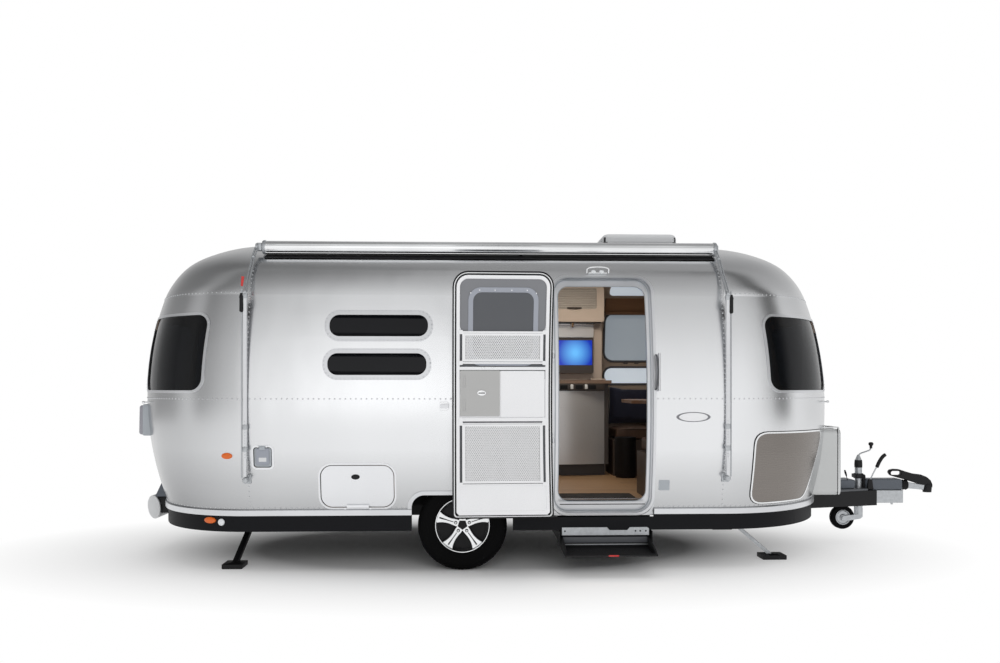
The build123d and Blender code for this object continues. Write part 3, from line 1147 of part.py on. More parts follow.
SEAT_HEIGHT = 860.0
CUSHION = 110.0
BACK_TOP = 1370.0
SEAT_FRONT = 640.0          # Y of the side seats' front edge
SEAT_STARTS = ((RIGHT, 1400.0), (LEFT, 1420.0))     # side, rear end of the seat along it
AISLE_END = 2440.0
BED_FROM = -1010.0
BED_HEIGHT = 960.0
MATTRESS = 150.0
LAP = 4.0                   # straight stretches run this far into the rounded ends


def fill_end(end, low, high):
    """The space inside one end of the body between two heights."""
    profile, seam, direction = ENDS[end]
    end_loft(end, WALL + SEAT, WALL_HEIGHTS)
    reach = sorted((seam, seam + direction * 1200))
    block(reach, (-1300, 1300), (low, high), Mode.INTERSECT)


def fill_straight(side, x_from, x_to, front, low, high):
    """A block against one side wall, its front at a distance from the middle."""
    back = profile_run(SIDE, WALL + LAP, low, high)
    with BuildSketch(Plane.YZ.offset(fore(x_from))) as section:
        with BuildLine():
            draw_run(back, side)
            Line(place(back[-1][2], side), (side * front, up(high)))
            Line((side * front, up(high)), (side * front, up(low)))
            Line((side * front, up(low)), place(back[0][0], side))
        make_face()
    extrude(section.sketch, amount=x_to - x_from)


with BuildPart() as jamb_space:
    side_panel(RIGHT, 0, JAMB_DEPTH + CLEAR, DOORWAY_X, DOORWAY_Z, DOORWAY_WIDTH + 2 * CLEAR,
               DOORWAY_HEIGHT + 2 * CLEAR, DOORWAY_RADIUS + CLEAR)

with BuildPart() as seat_bases:
    fill_end("front", FLOOR_HEIGHT, SEAT_HEIGHT)
    block((FRONT_SEAM - 10, AISLE_END), (-SEAT_FRONT, SEAT_FRONT), (400, 1000), Mode.SUBTRACT)
    for side, start in SEAT_STARTS:
        fill_straight(side, start, FRONT_SEAM + LAP, SEAT_FRONT, FLOOR_HEIGHT, SEAT_HEIGHT)
    add(jamb_space.part, mode=Mode.SUBTRACT)

with BuildPart() as seat_cushions:
    fill_end("front", SEAT_HEIGHT + SEAT, SEAT_HEIGHT + CUSHION)
    block((FRONT_SEAM - 10, AISLE_END - 20), (-SEAT_FRONT + 20, SEAT_FRONT - 20), (400, 1000), Mode.SUBTRACT)
    for side, start in SEAT_STARTS:
        front = SEAT_FRONT - 20
        fill_straight(side, start + 2, FRONT_SEAM + LAP, front, SEAT_HEIGHT + SEAT, SEAT_HEIGHT + CUSHION)
    add(jamb_space.part, mode=Mode.SUBTRACT)

with BuildPart() as seat_backs:
    low = SEAT_HEIGHT + CUSHION + SEAT
    fill_end("front", low, PANE_LOW - 20)
    end_loft("front", WALL + 110, WALL_HEIGHTS, Mode.SUBTRACT)
    for side, start in SEAT_STARTS:
        inner = reach_at(SIDE, low, WALL + 110)
        fill_straight(side, start + 4, FRONT_SEAM + LAP, inner, low, BACK_TOP)
    add(jamb_space.part, mode=Mode.SUBTRACT)
with BuildPart() as cushions:
    joined((seat_cushions.part, seat_backs.part))
save(cushions, "cushions")

with BuildPart() as bed_base:
    fill_end("rear", FLOOR_HEIGHT, BED_HEIGHT)
    for side in (RIGHT, LEFT):
        fill_straight(side, REAR_SEAM - LAP, BED_FROM, 0, FLOOR_HEIGHT, BED_HEIGHT)
with BuildPart() as bench_bases:
    joined((seat_bases.part, bed_base.part))
save(bench_bases, "bench_bases")

with BuildPart() as mattress:
    fill_end("rear", BED_HEIGHT + SEAT, BED_HEIGHT + MATTRESS)
    for side in (RIGHT, LEFT):
        fill_straight(side, REAR_SEAM - LAP, BED_FROM - 20, 0, BED_HEIGHT + SEAT, BED_HEIGHT + MATTRESS)
save(mattress, "mattress")

TABLE_X = (1440.0, 2200.0)
TABLE_TOP = 1255.0
TABLE_Y = (-300.0, 420.0)
with BuildPart() as table:
    block(TABLE_X, TABLE_Y, (TABLE_TOP - 28, TABLE_TOP))
    fillet(table.edges().filter_by(Axis.Z), 130)
    rod((1950, 60, FLOOR_HEIGHT), (1950, 60, TABLE_TOP - 14), 30)
    rod((1950, 60, FLOOR_HEIGHT), (1950, 60, FLOOR_HEIGHT + 14), 170)
save(table, "table")

BIN_X = 1510.0
BIN_Y = 500.0
with BuildPart() as waste_bin:
    rod((BIN_X, BIN_Y, FLOOR_HEIGHT), (BIN_X, BIN_Y, 900), 105)
save(waste_bin, "waste_bin")
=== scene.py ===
# %% [markdown]
# A travel caravan with a rounded, riveted aluminium body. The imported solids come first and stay
# where they are: every distance below is read from them or given in the same frame.

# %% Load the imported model
import math

import bmesh
import bpy
from mathutils import Matrix, Vector
from mathutils.bvhtree import BVHTree


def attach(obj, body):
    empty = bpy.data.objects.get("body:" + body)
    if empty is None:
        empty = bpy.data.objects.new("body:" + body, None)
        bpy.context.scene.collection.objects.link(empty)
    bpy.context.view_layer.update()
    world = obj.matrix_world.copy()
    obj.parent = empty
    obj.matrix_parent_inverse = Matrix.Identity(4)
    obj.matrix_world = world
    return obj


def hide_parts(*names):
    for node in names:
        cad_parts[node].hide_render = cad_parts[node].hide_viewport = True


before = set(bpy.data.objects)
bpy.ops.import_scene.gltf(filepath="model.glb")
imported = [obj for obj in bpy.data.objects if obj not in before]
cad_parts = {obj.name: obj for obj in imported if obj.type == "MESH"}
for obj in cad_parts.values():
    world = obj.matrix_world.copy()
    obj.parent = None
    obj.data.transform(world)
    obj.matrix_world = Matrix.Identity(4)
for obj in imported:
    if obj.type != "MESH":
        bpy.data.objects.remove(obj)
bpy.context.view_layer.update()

scene = bpy.context.scene

# %% [markdown]
# A vehicle is laid out from its axle and from the ground, but this frame starts at the ball
# socket. Two numbers turn one into the other, so the rest of the file can speak of "ahead of the
# axle" and "above the ground", in metres, with Y to the left.

# %% Places ahead of the axle and above the ground
AXLE_TO_BALL = 4.12
BALL_HEIGHT = 0.455
RIGHT, LEFT = -1, 1


def at(x, y, z):
    """A place given ahead of the axle and above the ground."""
    return Vector((x - AXLE_TO_BALL, y, z - BALL_HEIGHT))


def laid(spot):
    """The same for a place given as one point."""
    return at(*spot)


ground = at(0, 0, 0).z
FLOOR_TOP = 0.5205
print("ground at", ground)

# %% [markdown]
# The camera stands low and level, a little behind the middle, and looks almost straight at the
# side. A level camera keeps upright lines upright, and a small shift frames the picture without
# tilting it.

# %% Camera
camera_data = bpy.data.cameras.new("camera")
camera_data.lens = 31.39
camera_data.sensor_width = 36.0
camera_data.shift_y = 0.0535
camera = bpy.data.objects.new("camera", camera_data)
camera.location = (-4.067, -7.62, 0.93)
camera.rotation_euler = (math.radians(90), 0, math.radians(-2))
scene.collection.objects.link(camera)
scene.camera = camera
scene.view_settings.view_transform = "Standard"
print("camera at", tuple(camera.location))

# %% [markdown]
# Bright metal shows what stands round it, so the studio is part of the finish: white near the
# horizon, a dimmer ceiling above, and two soft dark flags behind the camera that give the
# aluminium its long grey bands. The camera itself sees plain white.

# %% Studio sky
world = bpy.data.worlds.new("studio")
scene.world = world
world.use_nodes = True
sky = world.node_tree
sky.nodes.clear()


def add_node(tree, kind, inputs=(), **settings):
    """A node with its settings; each input is a value, or the socket that feeds it."""
    node = tree.nodes.new(kind)
    for name, value in settings.items():
        setattr(node, name, value)
    for key, value in dict(inputs).items():
        if isinstance(value, bpy.types.NodeSocket):
            tree.links.new(value, node.inputs[key])
        else:
            node.inputs[key].default_value = value
    return node


def ramp(tree, stops, share):
    """A colour ramp from a list of (place, grey) stops, read at a share; gives its colour."""
    node = add_node(tree, "ShaderNodeValToRGB", {0: share})
    while len(node.color_ramp.elements) < len(stops):
        node.color_ramp.elements.new(0.5)
    for element, (place, grey) in zip(node.color_ramp.elements, stops):
        element.position = place
        element.color = (grey, grey, grey, 1)
    return node.outputs[0]


def multiplied(tree, colour, by):
    """Two colours multiplied."""
    mix = add_node(tree, "ShaderNodeMix", data_type="RGBA", blend_type="MULTIPLY")
    mix.inputs["Factor"].default_value = 1.0
    tree.links.new(colour, mix.inputs["A"])
    tree.links.new(by, mix.inputs["B"])
    return mix.outputs["Result"]


direction = add_node(sky, "ShaderNodeTexCoord")
split = add_node(sky, "ShaderNodeSeparateXYZ", {0: direction.outputs["Generated"]})
rise = add_node(sky, "ShaderNodeMath", {0: split.outputs["Z"], 1: 0.5, 2: 0.5}, operation="MULTIPLY_ADD")
# places run from straight down, 0, to straight up, 1
ceiling = ramp(sky, [(0.0, 0.85), (0.49, 0.95), (0.53, 0.94), (0.6, 0.88), (0.68, 0.76), (0.8, 0.6),
                     (0.95, 0.44)], rise.outputs[0])
turn = add_node(sky, "ShaderNodeMath", {0: split.outputs["Y"], 1: split.outputs["X"]}, operation="ARCTAN2")
share = add_node(sky, "ShaderNodeMath", {0: turn.outputs[0], 1: 0.5 / math.pi, 2: 0.5},
                 operation="MULTIPLY_ADD")
# places run round the horizon: 0 and 1 are rearward, 0.25 behind the camera, 0.5 forward
flags = ramp(sky, [(0.0, 0.4), (0.05, 0.66), (0.09, 0.3), (0.15, 0.48), (0.203, 0.56), (0.222, 0.96),
                   (0.243, 1.0), (0.262, 0.7), (0.3, 0.7), (0.335, 0.74), (0.375, 0.68), (0.405, 0.56),
                   (0.435, 0.1), (0.46, 0.12), (0.49, 0.74), (0.56, 0.62), (0.8, 0.62), (0.92, 0.34)],
             share.outputs[0])
glow = add_node(sky, "ShaderNodeBackground", {"Color": multiplied(sky, ceiling, flags), "Strength": 1.38})
white = add_node(sky, "ShaderNodeBackground", {"Color": (1, 1, 1, 1)})
rays = add_node(sky, "ShaderNodeLightPath")
choose = add_node(sky, "ShaderNodeMixShader", {0: rays.outputs["Is Camera Ray"], 1: glow.outputs[0],
                                               2: white.outputs[0]})
add_node(sky, "ShaderNodeOutputWorld", {"Surface": choose.outputs[0]})
print("sky nodes", len(sky.nodes))

# %% [markdown]
# One broad lamp overhead lights the ground and the soft pieces. It is kept out of reflections,
# because the roof would show its outline. A small warm lamp hangs in the cabin.

# %% Lamps


def area_lamp(name, place, aim, size, power, colour=(1, 1, 1)):
    """A rectangular lamp that lights but isn't mirrored."""
    data = bpy.data.lights.new(name, "AREA")
    data.shape = "RECTANGLE"
    data.size, data.size_y = size
    data.energy = power
    data.color = colour
    lamp = bpy.data.objects.new(name, data)
    lamp.location = place
    lamp.rotation_euler = (Vector(aim) - Vector(place)).to_track_quat("-Z", "Y").to_euler()
    lamp.visible_glossy = False
    scene.collection.objects.link(lamp)
    return lamp


area_lamp("overhead", at(0.6, -0.5, 7.0), at(0.6, -0.2, 0), (9.0, 6.0), 200)
area_lamp("front_fill", at(1.0, -9.0, 4.0), at(0.8, 0, 1.2), (7.0, 3.0), 125)
area_lamp("cabin_lamp", at(1.0, 0.0, 2.4), at(1.0, 0.1, 1.0), (1.2, 0.5), 14, (1.0, 0.9, 0.76))

# %% [markdown]
# The ground is one pale disc. Near the caravan it is an ordinary matt surface, so it keeps the
# shadow. Further out it fades to even white, so the disc has no visible edge.

# %% Ground
FLOOR_RADIUS = 16
bpy.ops.mesh.primitive_circle_add(vertices=96, radius=FLOOR_RADIUS, fill_type="NGON",
                                  location=at(0.1, -0.1, -0.001))
floor = bpy.context.object
floor.name = "studio_floor"
pale = bpy.data.materials.new("studio_floor")
pale.use_nodes = True
tree = pale.node_tree
matt = tree.nodes["Principled BSDF"]
for socket, value in (("Base Color", (0.92, 0.92, 0.92, 1)), ("Roughness", 0.9), ("Specular IOR Level", 0.1)):
    matt.inputs[socket].default_value = value
seen = add_node(tree, "ShaderNodeLightPath")
dimmed = add_node(tree, "ShaderNodeMapRange", {"Value": seen.outputs["Is Camera Ray"], "To Min": 0.95})
even = add_node(tree, "ShaderNodeEmission", {"Color": (1, 1, 1, 1), "Strength": dimmed.outputs[0]})


def object_place(tree, stretch=(1, 1, 1), shift=(0, 0, 0)):
    """Places on the piece itself, stretched and shifted."""
    place = add_node(tree, "ShaderNodeTexCoord")
    mapping = {"Vector": place.outputs["Object"], "Scale": stretch, "Location": shift}
    return add_node(tree, "ShaderNodeMapping", mapping).outputs[0]


far = add_node(tree, "ShaderNodeVectorMath", {0: object_place(tree, (0.232, 0.42, 1.0))}, operation="LENGTH")
fade = ramp(tree, [(0.42, 0.0), (0.7, 0.55), (0.98, 1.0)], far.outputs["Value"])
blend = add_node(tree, "ShaderNodeMixShader", {0: fade, 1: matt.outputs[0], 2: even.outputs[0]})
tree.links.new(blend.outputs[0], tree.nodes["Material Output"].inputs["Surface"])
floor.data.materials.append(pale)
print("floor radius", FLOOR_RADIUS)

# %% [markdown]
# Every finish starts from the same recipe: two noise textures on Object coordinates, one broad
# and one fine, move the colour, the roughness and a little bump. What changes from one finish to
# the next is the scale, the stretch and how much each one shows.

# %% A recipe for finishes
finishes = {}


def noise(tree, place, scale, detail):
    """Noise at a place."""
    return add_node(tree, "ShaderNodeTexNoise", {"Vector": place, "Scale": scale,
                                                 "Detail": detail}).outputs[0]


def finish(name, colour, rough=0.5, metal=0.0, broad=3.0, vary=0.1, fine=300.0, grain=0.1, depth=0.0004,
           stretch=(1, 1, 1), swing=0.2, **shader_values):
    """A material whose colour, roughness and relief vary over the surface."""
    made = bpy.data.materials.new(name)
    made.use_nodes = True
    tree = made.node_tree
    shader = tree.nodes["Principled BSDF"]
    shader.inputs["Metallic"].default_value = metal
    for socket, value in shader_values.items():
        shader.inputs[socket.replace("_", " ")].default_value = value
    place = object_place(tree, stretch)
    wide, close = noise(tree, place, broad, 4), noise(tree, place, fine, 2)
    darker, lighter = ((*[min(1, c * way) for c in colour], 1) for way in (1 - vary, 1 + vary))
    tint = add_node(tree, "ShaderNodeMix", {"A": darker, "B": lighter, "Factor": wide}, data_type="RGBA")
    rough_from, rough_to = rough * (1 - swing), min(1, rough * (1 + swing))
    gloss = add_node(tree, "ShaderNodeMapRange", {"Value": close, "To Min": rough_from, "To Max": rough_to})
    relief = add_node(tree, "ShaderNodeBump", {"Strength": grain, "Distance": depth, "Height": close})
    tree.links.new(tint.outputs["Result"], shader.inputs["Base Color"])
    tree.links.new(gloss.outputs[0], shader.inputs["Roughness"])
    tree.links.new(relief.outputs[0], shader.inputs["Normal"])
    finishes[name] = made
    return made


# name, colour, roughness, metal, then what differs from the recipe
finish("satin_aluminium", (0.72, 0.73, 0.75), 0.32, 1.0, fine=500, grain=0.05)
finish("bright_trim", (0.86, 0.87, 0.88), 0.18, 1.0, fine=260, grain=0.04)
finish("zinc", (0.52, 0.54, 0.56), 0.45, 0.9, broad=40, vary=0.22, fine=900, grain=0.15)
finish("black_paint", (0.007, 0.007, 0.008), 0.45, broad=5, fine=700, grain=0.12, Specular_IOR_Level=0.3)
finish("black_moulding", (0.008, 0.008, 0.009), 0.55, broad=8, fine=1200, grain=0.25, Specular_IOR_Level=0.3)
finish("charcoal_skirt", (0.0075, 0.0078, 0.0095), 0.5, broad=4, fine=900, grain=0.2, Specular_IOR_Level=0.12)
finish("rubber_seal", (0.007, 0.007, 0.008), 0.62, broad=10, fine=1500, grain=0.3, Specular_IOR_Level=0.25)
finish("tyre_rubber", (0.0028, 0.0028, 0.003), 0.7, broad=12, fine=1300, grain=0.35, Specular_IOR_Level=0.07)
finish("white_enamel", (0.84, 0.845, 0.86), 0.28, broad=3, vary=0.03, fine=350, grain=0.05)
finish("grey_enamel", (0.2, 0.205, 0.22), 0.36, broad=3, vary=0.04, fine=350, grain=0.06)
finish("dark_panel", (0.085, 0.09, 0.1), 0.4, broad=4, vary=0.06, fine=500, grain=0.08)
finish("cabin_lining", (0.34, 0.27, 0.22), 0.6, broad=8, vary=0.08, fine=1100, grain=0.25)
finish("beige_laminate", (0.46, 0.385, 0.33), 0.42, broad=5, vary=0.05, fine=800, grain=0.08)
finish("dark_laminate", (0.05, 0.042, 0.038), 0.4, broad=6, vary=0.1, fine=700, grain=0.1)
finish("worktop", (0.2, 0.13, 0.09), 0.35, broad=60, vary=0.25, fine=500, grain=0.08)
finish("orange_lens", (0.72, 0.13, 0.006), 0.22, broad=120, vary=0.12, fine=600, grain=0.2, Coat_Weight=0.2)
finish("clear_lens", (0.8, 0.82, 0.84), 0.16, broad=90, vary=0.06, fine=600, grain=0.2, Coat_Weight=0.5)
finish("red_lens", (0.55, 0.012, 0.01), 0.18, broad=120, vary=0.12, fine=600, grain=0.2, Coat_Weight=0.5)
finish("blue_navy", (0.012, 0.014, 0.03), 0.7, broad=9, vary=0.2, fine=900, grain=0.4, Sheen_Weight=0.3)
finish("brown_hide", (0.075, 0.045, 0.032), 0.48, broad=14, vary=0.25, fine=420, grain=0.6, depth=0.0008)
finish("linen", (0.62, 0.6, 0.56), 0.85, broad=6, vary=0.06, fine=900, grain=0.5, Sheen_Weight=0.3)
finish("door_mat", (0.045, 0.042, 0.04), 0.9, broad=30, vary=0.3, fine=1500, grain=0.8, depth=0.002)
finish("galley_steel", (0.6, 0.6, 0.61), 0.3, 0.45, broad=2, vary=0.06, fine=700, grain=0.12,
       stretch=(0.03, 0.03, 1))
finish("guard_steel", (0.235, 0.215, 0.2), 0.27, 1.0, broad=3, vary=0.1, fine=260, grain=0.18,
       stretch=(0.03, 0.03, 1), swing=0.35)
finish("locker_paint", (0.56, 0.57, 0.57), 0.38, 0.25, broad=3, vary=0.04, fine=500, grain=0.06)
finish("machined_face", (0.86, 0.87, 0.88), 0.2, 1.0, broad=4, vary=0.04, fine=900, grain=0.06)
finish("wheel_pocket", (0.01, 0.01, 0.011), 0.4, 0.1, broad=20, fine=700, grain=0.1, Specular_IOR_Level=0.2)
finish("grey_plastic", (0.4, 0.43, 0.46), 0.5, broad=6, vary=0.06, fine=900, grain=0.15)
finish("pale_plastic", (0.7, 0.71, 0.72), 0.42, broad=6, vary=0.04, fine=900, grain=0.12)
finish("dark_bench", (0.06, 0.045, 0.038), 0.45, broad=6, vary=0.15, fine=600, grain=0.12)
finish("vent_grey", (0.55, 0.56, 0.57), 0.4, broad=4, vary=0.05, fine=700, grain=0.1)
finish("slide_grey", (0.44, 0.44, 0.435), 0.42, broad=4, vary=0.03, fine=600, grain=0.06)
finish("trim_grey", (0.33, 0.35, 0.4), 0.4, broad=5, vary=0.04, fine=700, grain=0.08)
finish("brown_wood", (0.17, 0.095, 0.055), 0.4, broad=5, vary=0.2, fine=90, grain=0.1, stretch=(1, 9, 9))
finish("hitch_grey", (0.105, 0.118, 0.138), 0.42, 0.3, broad=9, vary=0.12, fine=800, grain=0.12)
finish("lens_grey", (0.3, 0.3, 0.335), 0.2, broad=60, vary=0.08, fine=500, grain=0.15, Coat_Weight=0.4)
# window_blind and skylight glow by emission: painted light standing in for the daylight that shines through
# them from outside
finish("window_blind", (0.3, 0.34, 0.38), 0.8, broad=5, vary=0.05, fine=900, grain=0.2,
       Emission_Color=(0.36, 0.42, 0.48, 1), Emission_Strength=0.42)
finish("skylight", (0.5, 0.54, 0.58), 0.5, broad=5, vary=0.04, fine=900, grain=0.1,
       Emission_Color=(0.62, 0.7, 0.78, 1), Emission_Strength=0.6)
finish("shutter_slat", (0.36, 0.33, 0.3), 0.45, broad=6, vary=0.05, fine=900, grain=0.1)
print("finishes", len(finishes))

# %% [markdown]
# Pieces are drawn as small closed shapes and gathered into one mesh per piece. A shape can be
# passed through a rule that bends it into place, which is how flat door panels come to follow the
# curve of the side. The last step gives the mesh its finish and the body that it travels with.

# %% Gathering shapes into pieces


def pour(piece, shape, place=None):
    """Add a finished shape to a piece, moved or bent by a rule."""
    if place:
        for vert in shape.verts:
            vert.co = place(vert.co)
    bmesh.ops.recalc_face_normals(shape, faces=shape.faces)
    mesh = bpy.data.meshes.new("shape")
    shape.to_mesh(mesh)
    shape.free()
    piece.from_mesh(mesh)
    bpy.data.meshes.remove(mesh)


def keep(name, mesh, finish_name, body, smooth=38, stands_for=None):
    """Show a mesh as a piece with a finish, on a body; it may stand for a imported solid."""
    mesh.name = name
    mesh.materials.clear()
    mesh.materials.append(finishes[finish_name])
    mesh.shade_smooth()
    mesh.set_sharp_from_angle(angle=math.radians(smooth))
    made = bpy.data.objects.new(name, mesh)
    scene.collection.objects.link(made)
    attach(made, body)
    if stands_for:
        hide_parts(stands_for)
    return made


def settle(name, piece, finish_name, body="caravan", smooth=38, stands_for=None):
    """Turn gathered shapes into a piece."""
    mesh = bpy.data.meshes.new(name)
    piece.to_mesh(mesh)
    piece.free()
    return keep(name, mesh, finish_name, body, smooth, stands_for)


def soften(shape, width, steps=2):
    """Round the sharp edges of a shape."""
    sharp = [e for e in shape.edges if len(e.link_faces) == 2 and e.calc_face_angle(0) > 0.5]
    if width and sharp:
        bmesh.ops.bevel(shape, geom=sharp, offset=width, segments=steps, profile=0.5, affect="EDGES",
                        clamp_overlap=True)


print("helpers ready")

# %% [markdown]
# Five shapes cover nearly everything here: a softened block, a plate cut to an outline with
# holes, a turned ring, a bent bar and a rounded outline to cut plates by.

# %% Shapes


def block(piece, low, high, edge=0.002, place=None, steps=2):
    """A box between two corners with softened edges."""
    shape = bmesh.new()
    bmesh.ops.create_cube(shape, size=1.0)
    for vert in shape.verts:
        vert.co = Vector([lo + (c + 0.5) * (hi - lo) for c, lo, hi in zip(vert.co, low, high)])
    soften(shape, edge, steps)
    pour(piece, shape, place)


def rounded(x, z, width, height, radius, steps=7):
    """A rectangle with round corners, as a loop of (x, z) places."""
    loop = []
    for sx, sz, first in ((1, 1, 0), (-1, 1, 90), (-1, -1, 180), (1, -1, 270)):
        for step in range(steps):
            angle = math.radians(first + 90 * step / (steps - 1))
            loop.append((x + sx * (width / 2 - radius) + radius * math.cos(angle),
                         z + sz * (height / 2 - radius) + radius * math.sin(angle)))
    return loop


def plate(piece, outline, near, far, holes=(), edge=0.0012, place=None, rows=0.0, columns=0.0):
    """A sheet cut to an outline in X and Z, between two depths in Y; rows and columns cut it for bending."""
    shape = bmesh.new()
    loops = [[shape.verts.new((x, near, z)) for x, z in loop] for loop in (outline, *holes)]
    rims = [shape.edges.new(pair) for loop in loops for pair in zip(loop, loop[1:] + loop[:1])]
    fill = bmesh.ops.triangle_fill(shape, use_beauty=True, use_dissolve=False, edges=rims, normal=(0, -1, 0))
    faces = [g for g in fill["geom"] if isinstance(g, bmesh.types.BMFace)]
    twin = {v: shape.verts.new((v.co.x, far, v.co.z)) for loop in loops for v in loop}
    for face in faces:
        shape.faces.new([twin[v] for v in reversed(face.verts)])
    for loop in loops:
        for a, b in zip(loop, loop[1:] + loop[:1]):
            shape.faces.new((a, b, twin[b], twin[a]))
    bmesh.ops.recalc_face_normals(shape, faces=shape.faces)
    soften(shape, edge, 1)
    for along, pitch in ((Vector((0, 0, 1)), rows), (Vector((1, 0, 0)), columns)):
        low, high = (pick(v.co.dot(along) for v in shape.verts) for pick in (min, max))
        for step in range(1, math.ceil((high - low) / pitch) if pitch else 1):
            bmesh.ops.bisect_plane(shape, geom=shape.verts[:] + shape.edges[:] + shape.faces[:],
                                   plane_co=along * (low + step * pitch), plane_no=along)
    pour(piece, shape, place)


def turned(piece, profile, centre=(0, 0, 0), axis=(0, 1, 0), steps=48):
    """A closed profile of (radius, distance along the axis) turned round the axis."""
    shape = bmesh.new()
    rings = []
    for radius, along in profile:
        if radius < 1e-6:
            rings.append([shape.verts.new((0, along, 0))] * steps)
        else:
            rings.append([shape.verts.new((radius * math.cos(math.tau * i / steps), along,
                                           radius * math.sin(math.tau * i / steps))) for i in range(steps)])
    for first, second in zip(rings, rings[1:] + rings[:1]):
        for i in range(steps):
            j = (i + 1) % steps
            corners = list(dict.fromkeys((first[i], first[j], second[j], second[i])))
            if len(corners) > 2:
                shape.faces.new(corners)
    lean = Vector((0, 1, 0)).rotation_difference(Vector(axis))
    pour(piece, shape, lambda v: lean @ v + Vector(centre))


def bar(piece, path, radius, sides=10, flat=1.0, place=None):
    """A round bar along a list of places; flat below 1 squeezes it along its own side."""
    path = [Vector(p) for p in path]
    radii = radius if isinstance(radius, (list, tuple)) else [radius] * len(path)
    shape = bmesh.new()
    heading = (path[1] - path[0]).normalized()
    side = heading.orthogonal().normalized()
    rings = []
    for i, (point, size) in enumerate(zip(path, radii)):
        before = (point - path[i - 1]).normalized() if i else heading
        after = (path[i + 1] - point).normalized() if i + 1 < len(path) else before
        middle = (before + after).normalized()
        side = (heading.rotation_difference(middle) @ side).normalized()
        heading = middle
        up = heading.cross(side)
        rings.append([shape.verts.new(point + size * (math.cos(a) * side + flat * math.sin(a) * up))
                      for a in (math.tau * k / sides for k in range(sides))])
    for first, second in zip(rings, rings[1:]):
        for k in range(sides):
            shape.faces.new((first[k], first[(k + 1) % sides], second[(k + 1) % sides], second[k]))
    shape.faces.new(rings[0])
    shape.faces.new(rings[-1])
    pour(piece, shape, place)


def eased(path, rounds=2):
    """Cut the corners of a path until it bends smoothly."""
    path = [Vector(p) for p in path]
    for _ in range(rounds):
        cut = [path[0]]
        for a, b in zip(path, path[1:]):
            cut += [a.lerp(b, 0.25), a.lerp(b, 0.75)]
        path = cut + [path[-1]]
    return path


print("shapes ready")

# %% [markdown]
# The side of the caravan is a gentle arc in section. The same arc, written as one function,
# places everything that lies on the side. The door is drawn as if it were shut, at a depth below
# the skin, and then swung round its hinge line to where it stands, folded back on the wall.

# %% The curve of the side, and the swing of the door
BELLY_REACH, BELLY_HEIGHT, BELLY_RADIUS = 1.22, 1.25, 3.4
SHOULDER_HEIGHT, SHOULDER_RADIUS = 2.055, 0.49
HINGE_X, HINGE_Y = 0.667, -1.245
DOOR_SWING = math.radians(-178)


def reach(height, depth=0.0):
    """Distance of the side from the middle at a height, set in by a depth."""
    middle, level, radius = BELLY_REACH - BELLY_RADIUS, BELLY_HEIGHT, BELLY_RADIUS
    if height > SHOULDER_HEIGHT:
        turn = math.asin((SHOULDER_HEIGHT - level) / radius)
        middle += (radius - SHOULDER_RADIUS) * math.cos(turn)
        level += (radius - SHOULDER_RADIUS) * math.sin(turn)
        radius = SHOULDER_RADIUS
    return middle + math.sqrt((radius - depth) ** 2 - (height - level) ** 2)


def on_side(spot):
    """(ahead of the axle, depth under the skin, height) to a place on the door side."""
    return at(spot[0], -reach(spot[2], spot[1]), spot[2])


def on_door(spot):
    """The same, carried round by the open door."""
    shut = Vector((spot[0] - HINGE_X, -reach(spot[2], spot[1]) - HINGE_Y, 0))
    swung = Matrix.Rotation(DOOR_SWING, 4, "Z") @ shut
    return at(HINGE_X + swung.x, HINGE_Y + swung.y, spot[2])


print("reach at the belt", reach(1.283), "open door outer edge", tuple(on_door((1.408, 0.0, 1.3))))

# %% [markdown]
# Some things repeat: rivets, perforations, slats, spokes. Geometry Nodes makes each of them from
# one small shape and a plan. Every tree ends by turning its instances into real faces with a
# finish, and the result is kept as an ordinary mesh.

# %% Starting, ending and running a tree


def start_tree(name, **sizes):
    """A tree with a Geometry input, named number inputs, a Finish input and an output."""
    made = bpy.data.node_groups.new(name, "GeometryNodeTree")
    made.interface.new_socket("Geometry", in_out="INPUT", socket_type="NodeSocketGeometry")
    for label, value in sizes.items():
        kind = "NodeSocketInt" if isinstance(value, int) else "NodeSocketFloat"
        made.interface.new_socket(label, in_out="INPUT", socket_type=kind).default_value = value
    made.interface.new_socket("Finish", in_out="INPUT", socket_type="NodeSocketMaterial")
    made.interface.new_socket("Geometry", in_out="OUTPUT", socket_type="NodeSocketGeometry")
    return made, made.nodes.new("NodeGroupInput")


def end_tree(made, entry, instances):
    """Make the instances real and give them their finish."""
    real = add_node(made, "GeometryNodeRealizeInstances", {0: instances})
    paint = {"Geometry": real.outputs[0], "Material": entry.outputs["Finish"]}
    painted = add_node(made, "GeometryNodeSetMaterial", paint)
    add_node(made, "NodeGroupOutput", {0: painted.outputs[0]})


def arithmetic(made, operation, *terms):
    """A Math node fed by sockets or plain numbers; gives its output."""
    return add_node(made, "ShaderNodeMath", enumerate(terms), operation=operation).outputs[0]


def evaluated(name, mesh, *modifiers):
    """What a mesh becomes under modifiers, each given as (kind, settings)."""
    carrier = bpy.data.objects.new(name, mesh)
    scene.collection.objects.link(carrier)
    for kind, settings in modifiers:
        modifier = carrier.modifiers.new(kind.lower(), kind)
        for label, value in settings.items():
            setattr(modifier, label, value)
    bpy.context.view_layer.update()
    result = bpy.data.meshes.new_from_object(carrier.evaluated_get(bpy.context.evaluated_depsgraph_get()))
    bpy.data.objects.remove(carrier)
    return result


